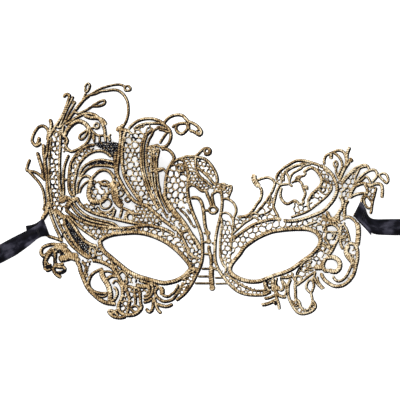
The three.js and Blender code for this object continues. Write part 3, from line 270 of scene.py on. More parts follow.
      -15,-23.3, -12,-27.3, -9.3,-31, -7.2,-34.2]),
    cord(1.8, [-24,-21, -20,-26, -17.5,-31, -15.5,-35.5, -14.3,-38.2, -11.5,-40.6, -8,-42]),
    cord(1.1, [-20.4,-25.5, -14.5,-23.5]),
  ],
  "centre_leaf": [
    cord(1.4, [-23.2,22.4, -21.5,23.2, -19,24, -16.5,25, -13.5,25.1, -10.5,25]),
    cord(1.5, [-10.8,24.9, -8.3,26.8, -6.3,28.9, -4,30.3, -1.7,30.1, -0.5,28.5, -1.2,26.7, -3.2,26.2,
      -4.6,27.4]),
    cord(1.6, [-10,24.6, -5,23.6, -2.3,21.8, 0,19.2, 1.9,16.2, 3.3,13, 3.9,10, 3.6,7.7, 2.5,6]),
    cord(1.4, [-10,24.8, -10.2,20.5, -9.8,16.5, -8.3,13, -6.3,10.6, -3.5,8.7, -1.3,6.8, 0.8,5.2]),
    cord(1.4, [-9.9,18, -6.5,15.8, -3.5,13.1, -1.2,10.8, 0.6,8.4, 2.7,6.3]),
  ],
  "centre_stem": [
    loop(1.4, [-22.6,17.4, -21.2,19.5, -18.8,19.5, -17.8,17.4, -18.8,15.3, -21.2,15.3]),
    cord(1.8, [-18.4,19.2, -16.6,18.6, -15.6,15.5, -15,12, -15,9, -15.5,4.5, -15.3,0.5, -14.6,-3.5,
      -13.6,-7.5, -12.2,-11.7, -10.4,-16, -8.7,-20, -7.2,-24, -6.2,-28, -5.8,-32, -5.7,-36, -5.8,-40,
      -6.4,-44, -7.4,-47.3, -8.8,-50.3, -10.2,-53.3, -11.7,-56.3, -13.5,-59.5, -15.5,-62.4, -17.8,-65,
      -20.5,-67.3, -23,-69.3]),
    cord(2.6, [-12.6,-48.6, -9.8,-49, -8.2,-49.6]),
  ],
  "nose_knot": [
    cord(1.8, [-13.4,-2.4, -11,-1.9, -8.3,-2.6, -6.4,-5.3, -5.4,-9, -4.8,-13.5, -4.4,-18, -3.7,-22,
      -2.6,-24.8]),
    disc(3.4, [-2.3,-25.2]),
    disc(3.4, [-1.8,-30.5]),
    cord(1.3, [-2.3,-25.2, -1.8,-30.5]),
    loop(1.4, [-1.5,-10, 0,-8.1, 2.4,-8.1, 3.9,-10, 2.4,-11.9, 0,-11.9]),
    cord(1.2, [-1.5,-10.2, -5.2,-10.4]),
    cord(1.8, [0.4,-8, -1,-3.5, -2.5,-0.3, -3.2,2.5]),
    cord(1.4, [2,-8, 0.8,-3, 0.8,0.5, 3.2,1.6]),
  ],
  "nose_drop": [
    cord(1.8, [-1.5,-33.2, -1.5,-36, -0.8,-39, -0.1,-42, -0.1,-44.5, 0,-46.5]),
    cord(3, [0,-46.5, 0,-50, 0,-54, 0.3,-58, 0.6,-60]),
    disc(3.8, [0.6,-60.9]),
    cord(0.9, [-6.4,-48.4, 0,-48.4]),
    cord(0.9, [-8.8,-53.4, 0,-53.4]),
    cord(0.9, [-10.9,-57.9, 0,-57.9]),
  ],
  "right_nose": [
    cord(1.8, [6.3,3, 7,-2, 7.1,-6, 6.6,-10.5, 5.9,-14.5, 4.8,-18.5, 3.9,-22.5, 3.1,-26.5, 2.6,-30.5,
      2.4,-35, 2.3,-40, 2.8,-44, 4,-47.5, 5.7,-50.7, 7.8,-53.5, 10,-56.3, 12.6,-59.2, 15.4,-61.8,
      18.8,-63.9, 22.5,-65.1, 26.5,-65.7, 30.5,-65.8, 34.5,-65.6, 37.3,-64.6, 38.8,-62.6]),
    cord(1.3, [9,-51.5, 12,-53.8, 15,-56, 18,-58.2, 21.3,-60, 24.3,-61.4, 27.3,-62.5, 30.5,-63, 33.7,-62.8,
      36.8,-62, 38.4,-62.6]),
    cord(1.5, [6.6,-15, 7,-19, 6.5,-23, 6.1,-27, 5.8,-31, 5.8,-35.5, 5.9,-40, 6.7,-43, 7.9,-45.8, 9.6,-47.8,
      9.4,-51]),
    loop(1.4, [5.7,5.3, 6.6,6.9, 8.6,6.9, 9.5,5.3, 8.6,3.7, 6.6,3.7]),
    cord(1.4, [9.3,5.4, 12.8,5.7, 13.2,3.3, 12.2,0.8, 10.8,-2.6]),
    cord(1.5, [7,-3, 9.5,-2.6, 12.3,-3.6, 14.8,-5.8, 16.2,-9, 16,-12, 14.9,-14.5, 14.4,-18, 14.2,-22,
      13.6,-27, 13,-32, 12.8,-37]),
    cord(1.3, [6.8,-12.2, 9.5,-11.8, 12,-12.9, 13.6,-15.3, 14.5,-17.6]),
    cord(0.9, [3,-49.2, 5,-49.4]),
    cord(0.9, [2.4,-54.4, 8.3,-54.2]),
    cord(0.9, [2.7,-58.2, 11.2,-58]),
  ],
  "right_brow": [
    cord(2, [14.5,-29, 17,-26.7, 20,-24.5, 23.3,-22.2, 26.8,-20, 30.5,-18.5, 34.5,-17.3, 38.5,-16.4,
      42.5,-16, 46,-16.2]),
    cord(1.6, [44,-15.6, 43.3,-13.2, 41.8,-10.5, 40.8,-7.5, 41.3,-4.5, 41.9,-1.8, 42.5,0.5, 43.1,2.5,
      44,4.5, 45.3,6.1, 47.2,6.7, 50.6,7.1]),
    cord(1.2, [14.5,-28.6, 13.9,-26, 18,-22, 22,-18.5, 26,-16, 28.5,-14.8, 32.3,-17.6]),
  ],
  "right_finial": [
    cord(3.4, [28.3,13.3, 27.9,11, 28.4,9, 29.8,7, 31.5,5.3]),
    cord(1.8, [31.5,5.3, 32.8,3.3, 33,0.5, 32,-3.3, 29.6,-6.4, 27.3,-10, 24.8,-12.8, 21.3,-14.3, 17,-14.6]),
    cord(1.6, [30,9.5, 33,10.6, 36.5,11.3, 39.2,10.6, 41.2,8.8, 41.7,7, 41,4.8, 40,2.2, 38.6,0, 36.8,-2.8,
      34.9,-5.4, 32.8,-8, 30.6,-10.4, 28.6,-12, 25.5,-13.2]),
  ],
  "right_crest": [
    cord(1.8, [42.3,9.9, 43.3,13, 45.4,15.8, 47.8,17.9, 50.4,19.4, 53,21, 55.6,22.2, 58.5,22.5, 62,22.2,
      65,21.4, 68.5,20.3, 71.5,19.3]),
    cord(2.2, [71.5,19.3, 74.3,18.2, 76.6,16.6, 78.6,14.6, 80.5,12.3, 81.6,9.6, 82.7,7, 83.3,4.3, 83,1.8,
      82.2,-0.6, 81,-3, 79.4,-5.2, 77.5,-7.4, 75.6,-9.4, 73.2,-11.2, 70,-12.6, 66.5,-14, 62.5,-15.4,
      58,-16.6, 54,-17.2, 50,-17.3, 47.4,-16.8]),
  ],
  "right_crest_arcs": [
    cord(1.6, [47.5,8.6, 47.4,12.5, 48.6,15.2, 50.9,17.2, 53.7,18.6, 56.6,19.4, 59.5,20.2, 61,20.7]),
    cord(1.3, [51.6,9.8, 52.4,12, 53.4,13.8, 55.3,15.1, 57.5,16.3, 59.5,17.6, 60,20]),
    cord(1.5, [48.6,15, 50.3,12.6, 51.2,9.5, 51.4,8.6]),
  ],
  "right_bowl": [
    cord(1.6, [46.1,4.7, 45.3,0.5, 46,-2.6, 47.8,-5, 50,-6, 52,-5.2, 54.3,-4, 56.2,-4.4, 57.6,-6, 59.8,-6,
      61.4,-4.8]),
    cord(1.5, [59.6,11.9, 57.5,12, 55.7,11, 56.1,9.6, 58,9, 59.5,7.5, 60.2,5.5, 61,3.3, 61.9,1, 61.3,-1.5,
      60.3,-3.5, 61.2,-5.4]),
    cord(1.3, [52.9,7.4, 54,8.6, 56.5,9]),
    cord(2.4, [61,4.4, 62.6,4]),
  ],
  "right_inner_arc": [
    cord(2, [60.8,14.2, 62,15.8, 63.7,17, 66,17.8, 68.3,16.8, 70.3,14.9, 72,12.4, 73,9.7, 72.5,7, 70.5,4.3,
      68.3,2.2, 66.2,0.2, 64.6,-2.6, 63.6,-4.4]),
    cord(1.4, [78.3,7.2, 79.4,5.5, 79.3,3.3, 78,1.2, 76.2,-0.9, 73.9,-3, 71.2,-5.2, 68.3,-7.4, 65.3,-9.8,
      62,-11.6, 58.5,-12.9, 55,-14, 52.3,-15]),
    cord(1.3, [63.8,-4, 64,-8, 64.4,-10.4]),
    cord(1.2, [73,9.7, 75.3,9.3, 78.3,7.2]),
  ],
  "right_flourish": [
    cord(1.7, [74.8,19.8, 74.4,21.8, 74.8,24, 76,26, 78.3,27.2, 80.5,28, 82.5,29, 85,29.3, 87.2,28.4,
      88.6,26.6, 89.3,24, 89.4,21.5, 88.7,18.8, 87.5,16.2, 86.3,13.5, 85.2,10.5]),
    cord(1.5, [80.5,27.8, 82.8,26.5, 84.6,24.8, 86,22.5, 86.6,20, 86.3,17.8, 84.9,15, 83.6,12.5]),
    loop(1.3, [81.2,21.6, 82.6,22, 83.4,19.9, 82.4,18, 81,19.9]),
    cord(1.4, [82.4,18.2, 82.5,15, 83.4,12.4, 84.3,10.4]),
    cord(2.4, [79.3,27, 79,23.4]),
    cord(2.2, [91.7,31.6, 90.3,28.5, 89.8,26.5, 89.7,24.5, 90,22]),
    cord(3.2, [93.3,24, 91.6,21.8]),
    cord(1.8, [91.6,21.8, 90,19.6, 88.3,17, 86.8,14, 85.4,10.4, 84.6,8.8]),
    cord(1.4, [83.4,12.4, 85.2,10.6]),
  ],
  "right_feather": [
    cord(1.7, [85.8,8.2, 87,9.6, 89.3,11.9, 91.5,14, 93.8,16.3, 96.3,18, 99,19.3, 101.8,19.7, 103.8,18.6,
      104.6,16.8]),
    cord(1.4, [103.5,18.8, 100.8,18.4, 98.5,17.5, 97.3,15.3, 96.2,12.9, 95.2,10, 95.8,7]),
    cord(1.7, [95.8,6.8, 96.8,9, 98.5,11.3, 100.8,13.4, 103.3,15.2, 106,16.4, 108.4,16.3, 109.8,14.4,
      110,12.6, 109.2,11.2, 107.5,9.3, 106.6,8.2]),
    cord(1.4, [97.1,8.4, 99.3,9.2, 101.2,11, 102.9,11.9, 104.5,10.4, 105.4,8, 105.6,6]),
    cord(2, [95.6,5.6, 98.5,7, 101.3,7.5, 103.8,6.8, 106,6, 108,6.9, 110.5,7.3, 112.6,6.6, 113.4,4.2,
      113.4,1, 113.1,-2.2]),
    cord(1.8, [91.9,-2.2, 93.6,-0.9, 96.3,0.3, 99,0.9, 101.5,1, 104,0.8]),
    cord(2.4, [92,-2.4, 92.5,0, 93,2.2, 94.2,4.4, 96,6.6]),
    cord(1.8, [101.8,6.8, 103,4.6, 103.5,2.3, 103.4,0.8]),
  ],
  "right_loop": [
    loop(1.5, [111.4,12.9, 112.8,14, 114.6,14.2, 116.4,13, 117.2,11, 117.2,8.9, 116.1,7.8, 114.3,9.4,
      112.4,11.2]),
  ],
  "right_eyelet": [
    cord(1.6, [100.6,-1, 103.6,-1]),
    cord(1.3, [102.8,-0.9, 101.3,-2.8, 101.6,-5.5, 102.8,-7.8, 104,-8.8, 106,-8.7]),
    cord(1.5, [100.8,-0.9, 99.6,-3.5, 99.7,-6.2]),
    cord(1.3, [103.4,-0.9, 104.6,-2.3, 105.9,-4.2, 106.8,-6.3]),
    cord(1.6, [109.4,5, 108.6,1.8, 108,-0.8, 107.2,-3.5, 106.7,-6.2, 106.3,-8.5, 106.1,-10.5, 105.4,-12.8]),
    cord(1.6, [99.8,-5.8, 94.6,-14.2]),
  ],
  "right_column": [
    cord(2.2, [76.4,-11, 78,-14.6, 80,-16, 82.3,-14.9, 84,-12.6, 85.6,-10.2, 87,-8, 87.2,-5, 86.3,-2.5,
      84.9,-0.6]),
    cord(2.2, [91.1,-3.9, 89.6,-5.2, 88.4,-8, 88.2,-11, 88.3,-14, 88.4,-16.2]),
    cord(2.8, [77.3,-17.2, 80,-17.6, 83,-17, 84.2,-16]),
    cord(1.5, [84.2,-12.8, 84.4,-15.3, 84,-17.5, 85.2,-18.8]),
    cord(2, [73.6,-12.9, 74.5,-14, 76.3,-16.2, 78,-17.4]),
    cord(1.5, [86.8,-8.5, 88.6,-9.2]),
  ],
  "right_side_scroll": [
    cord(1.8, [73.9,-23.8, 74.9,-22, 76.6,-20.3, 79.5,-19.6, 82.2,-20.4, 84.2,-22.6, 85,-25.4, 84.6,-28.2,
      83.2,-30.6, 82,-33, 80.8,-35.5, 79.3,-38, 77.7,-39.6]),
    cord(1.8, [85.5,-20.4, 86,-22, 85.6,-25, 85.7,-28, 85.5,-31, 86.3,-34, 87.4,-36.2]),
    cord(1.5, [88.4,-18.2, 87.8,-20, 89.4,-22.2, 90.4,-25, 91.2,-28, 91.6,-30.8]),
    cord(1.4, [85.6,-20.6, 87.9,-20]),
    cord(1.4, [76.2,-24.8, 79.3,-24.6, 81.5,-24.9, 84.8,-24.4]),
    cord(1.4, [79.8,-30, 81.6,-27.6, 82.5,-24.8]),
    cord(1.3, [76,-21.4, 75.9,-25, 75.6,-29, 77.4,-32, 78.5,-36.5, 79.5,-37.8]),
  ],
  "right_band": [
    cord(1.8, [89.1,-15.8, 89.8,-14.8, 92,-14.9, 94,-16.2, 96,-18.3]),
    cord(3.2, [96,-18.3, 97.2,-21, 97.5,-24.5, 97.4,-28, 97,-31.2, 96.7,-34]),
    cord(2.2, [90.5,-32.8, 93,-32.4, 95.3,-33.4, 96.7,-36, 97,-39.5, 96.8,-43, 96,-46.6, 95.2,-50, 94.2,-53,
      92.4,-55.8, 90,-58.2, 87,-60, 83.6,-60.6, 80.6,-60.1, 77.8,-58.5, 75.4,-56.6, 73.6,-54.3,
      72.6,-51.8]),
    cord(3.4, [91.2,-33.6, 89.9,-35.6, 89.5,-38.3, 90.8,-41, 92.8,-43.3, 94.4,-45.2]),
    cord(1.6, [94,-44.8, 92.6,-47.5, 91.3,-50.5, 89.5,-53.8, 87,-56.3, 84.2,-57.2, 81.8,-56, 80.6,-53.8]),
    cord(1.4, [94.4,-45.4, 96,-46.6]),
  ],
  "right_cheek_curl": [
    cord(3, [76,-42, 78.5,-41.3, 81.5,-41.6, 84,-43.2, 85.2,-46, 84.6,-49, 82.4,-50.8, 79.8,-50.6,
      78,-49.6]),
    cord(2.4, [76,-42, 74.4,-44.5, 73.9,-47.5, 75.2,-50, 78,-50.4]),
    cord(3.6, [68,-48.6, 70.5,-48, 73.6,-48.2]),
  ],
  "right_fronds": [
    cord(1.8, [55.5,-56.8, 55.2,-60.5, 55.5,-63.5, 55.5,-66.5, 56,-69.6]),
    cord(1.6, [52.4,-55.4, 50.9,-59.5, 50.6,-63, 50.8,-66.5, 52,-70, 53.5,-73, 55.3,-75.8, 57.6,-78,
      60.8,-78.6, 64.3,-77.9, 67,-76.6, 68.9,-74.3, 68.6,-72, 67,-69.8]),
    cord(1.5, [55.4,-69.4, 57,-69.6, 58.2,-71, 59,-73.8, 60.6,-75.9, 63,-76.2, 65,-74.8, 66.3,-72.3,
      66.8,-69.6, 66.3,-66.8, 65.7,-64.6]),
    loop(1.5, [65.7,-64.6, 67.2,-62.2, 67.8,-59.5, 66.5,-56.4, 64.6,-56.6, 63,-59.2, 62.9,-61.8]),
    cord(1.5, [56,-60, 58.5,-58.2, 61.3,-56.2, 64,-54, 66.5,-52.3, 69.2,-50.6]),
    loop(1.3, [55.6,-55.7, 56.6,-53.9, 58.6,-53.9, 59.6,-55.7, 58.6,-57.5, 56.6,-57.5]),
    cord(1.6, [66.6,-56.4, 67.8,-54.8, 69.5,-57.8, 71.5,-60.2, 73.8,-62.3]),
    cord(1.4, [67.8,-54.8, 68.8,-51]),
    cord(1.4, [53.6,-53.8, 54.7,-55.6, 55.4,-57]),
  ],
  "right_star": [
    cord(2.6, [34.6,-57.6, 35.4,-58.8, 36,-61, 37.6,-60.8]),
    cord(3.6, [40.3,-61, 43,-61.2, 44.8,-62.3]),
    cord(1.9, [40.8,-54.8, 40.3,-58, 40,-61, 41,-63.5]),
    cord(1.4, [36.6,-60.8, 40.2,-61.2]),
    cord(1.4, [43.2,-54.4, 42.4,-58, 42.6,-60.6]),
    cord(1.4, [45.6,-54.2, 46.8,-58, 47.4,-60.7, 46.4,-62.8, 44.6,-62.4]),
    cord(1.4, [46.4,-56.4, 48,-58, 49.2,-60.2, 49.6,-62.5, 49,-65, 47.4,-67.2]),
    cord(2, [42.6,-63, 43.3,-65.2, 45.3,-66.6, 47.6,-67.2, 49.4,-67]),
    cord(1.8, [42.2,-62, 42.5,-66, 43.3,-69, 44.3,-72, 44.8,-75.5]),
    cord(1.8, [42.4,-65.6, 39.8,-67, 37.3,-67.8, 34.8,-68.1]),
    cord(2.2, [43.3,-69, 41,-69.9, 38.2,-71.2, 35.3,-72, 33,-72.2]),
  ],
  "left_cheek_flower": [
    cord(2, [-95.5,-34.6, -98,-33, -101.5,-33.2, -105,-32.9, -108.5,-33.5, -111.3,-34.9, -112.7,-37.2,
      -112.3,-39.6, -110.6,-40.5, -108.5,-38.8, -106.3,-36.6, -103.8,-35.6]),
    cord(3.2, [-103,-35.2, -99.5,-35, -96.5,-36.4, -94.2,-38.6, -92.4,-40.4]),
    cord(4.4, [-101,-42.2, -97.5,-42.2, -94,-41.1, -90.5,-40.6, -88.4,-41.6]),
    cord(2.6, [-105.2,-36.8, -108.3,-40.8, -110,-44.5, -109.8,-48, -109.6,-50]),
    cord(2, [-105,-36, -103.3,-39.5, -103.6,-43, -103.4,-46, -104.3,-49.2, -103.6,-51.5, -101.5,-53.5,
      -99.3,-54.8]),
    cord(1.8, [-103.5,-47.5, -100.5,-48, -97.6,-48.2, -96.9,-49.7, -98.5,-51.2, -102.8,-51.9]),
    cord(1.6, [-109.7,-50.2, -107.6,-50, -104.4,-48]),
  ],
  "left_lower_scroll": [
    cord(2.4, [-89.2,-44.4, -87.3,-46.6, -86.6,-49.8, -85.2,-53.6, -83.8,-57, -82.2,-60.4, -80,-63.4,
      -77.5,-65.8, -74.7,-68.3, -71.6,-70.3, -68.6,-71.4, -65.4,-71.8, -62.8,-72.2]),
    cord(1.7, [-71.4,-48.8, -75,-50.2, -78,-52, -80,-54.6, -81,-57.8, -80.5,-61, -78.5,-63.3, -75.5,-64.6,
      -72,-65.2, -68.4,-65]),
    cord(3.2, [-72,-49.4, -72,-52.5, -71,-55, -69.3,-57.6, -67.8,-60.3, -67,-63.2, -66.4,-66, -66.6,-69,
      -67,-71]),
    cord(2, [-69.3,-56.5, -66.8,-54.3, -64,-53.6, -62.6,-54.4]),
    cord(1.6, [-64.2,-60.8, -62.3,-62.8, -61.9,-65.5, -62.9,-68, -64.4,-69.8, -66.6,-70.4]),
    cord(1.4, [-81,-58, -82.6,-59]),
    cord(1.4, [-85.5,-44.6, -83.5,-46.5, -82.6,-49.5, -83.3,-52.5, -84.8,-55]),
  ],
  "left_fronds": [
    cord(2.2, [-78.6,-43.6, -76,-43.6, -72.5,-44.4, -69,-45.8, -66,-47.5, -63.6,-50, -61.7,-53, -60,-56,
      -58.6,-59, -58.3,-62.5, -58.3,-66, -59.3,-69.2, -60.6,-72, -61,-74.7, -59.9,-77.2, -57.6,-78.8,
      -54.5,-79.2, -51,-78.8, -48,-77.2, -46.1,-74.8, -45.7,-72]),
    cord(1.8, [-58.6,-58, -57,-60, -55.7,-63, -54.5,-66, -53.8,-69, -53.9,-72, -54.4,-75, -55.5,-78]),
    cord(1.4, [-57,-60, -53,-60.5, -51.5,-61.2, -50.2,-63.2, -50.3,-65.5, -49.8,-68, -49.8,-71,
      -50.4,-73.2]),
    cord(1.7, [-51.4,-61, -48,-62, -46.8,-64.5, -46.6,-67.5, -46.5,-70.5, -45.8,-73.5]),
    loop(1.3, [-52.8,-75, -51.4,-73.4, -49.2,-73.2, -47.6,-74.6, -48.4,-76.6, -50.6,-77]),
    cord(1.3, [-53.9,-74.6, -52.6,-75]),
    cord(1.2, [-61,-52.6, -59,-50.6, -57,-51.2, -55.6,-53.6, -55.6,-57.4, -56.6,-60]),
    cord(1.8, [-60.8,-75.6, -63.4,-77.2, -65.6,-78.6, -67.4,-77.6, -67,-75.8]),
  ],
  "left_star": [
    cord(2.8, [-49.4,-59, -47.5,-60, -45,-60.2, -40.6,-60.4]),
    cord(1.4, [-47.8,-56.4, -43.8,-57.4, -41.3,-58.4, -40.8,-60.5, -40.2,-63, -40.8,-65.3, -42.5,-66.5,
      -44.4,-66.4]),
    cord(1.6, [-44.6,-68.6, -41.5,-67.8, -39.5,-66, -38.4,-63.5, -38.2,-61, -39.5,-59, -41.2,-58.4]),
    cord(1.6, [-44.6,-70.8, -41,-69.8, -38.8,-68.4, -36.8,-67.6, -36.3,-65.6]),
    cord(1.6, [-41.2,-58.4, -38.2,-58.6]),
    cord(1.6, [-38.2,-58.6, -35,-60.6, -36.7,-63.2, -36.3,-66, -34.2,-68.2, -31.3,-69.8, -28,-69.6,
      -25,-68.2, -23,-65.7, -21.2,-63, -19.4,-60, -18,-57.4]),
    cord(2.8, [-33.6,-60.6, -32.2,-62.6, -32.2,-66]),
    cord(1.4, [-32.2,-65.8, -28.5,-66.7, -26,-65.2, -24,-63.5, -22.4,-61, -21.5,-58.6]),
    cord(1.8, [-37.3,-67.6, -38,-71, -38.2,-73.5, -39,-75.8, -40.5,-76.9, -42,-75.8, -42.4,-74.4]),
    cord(1.6, [-37.3,-68.4, -36.3,-71.5, -35.6,-74.2, -34.3,-76.3, -32.6,-77.8]),
    cord(1.8, [-36.2,-71.6, -33,-72.6, -30,-73.2, -27.5,-72.8, -25.2,-71.5]),
    cord(1.4, [-35,-60.6, -33.6,-60.4]),
    cord(1.6, [-39.4,-58.8, -38.2,-58.6]),
  ],
}

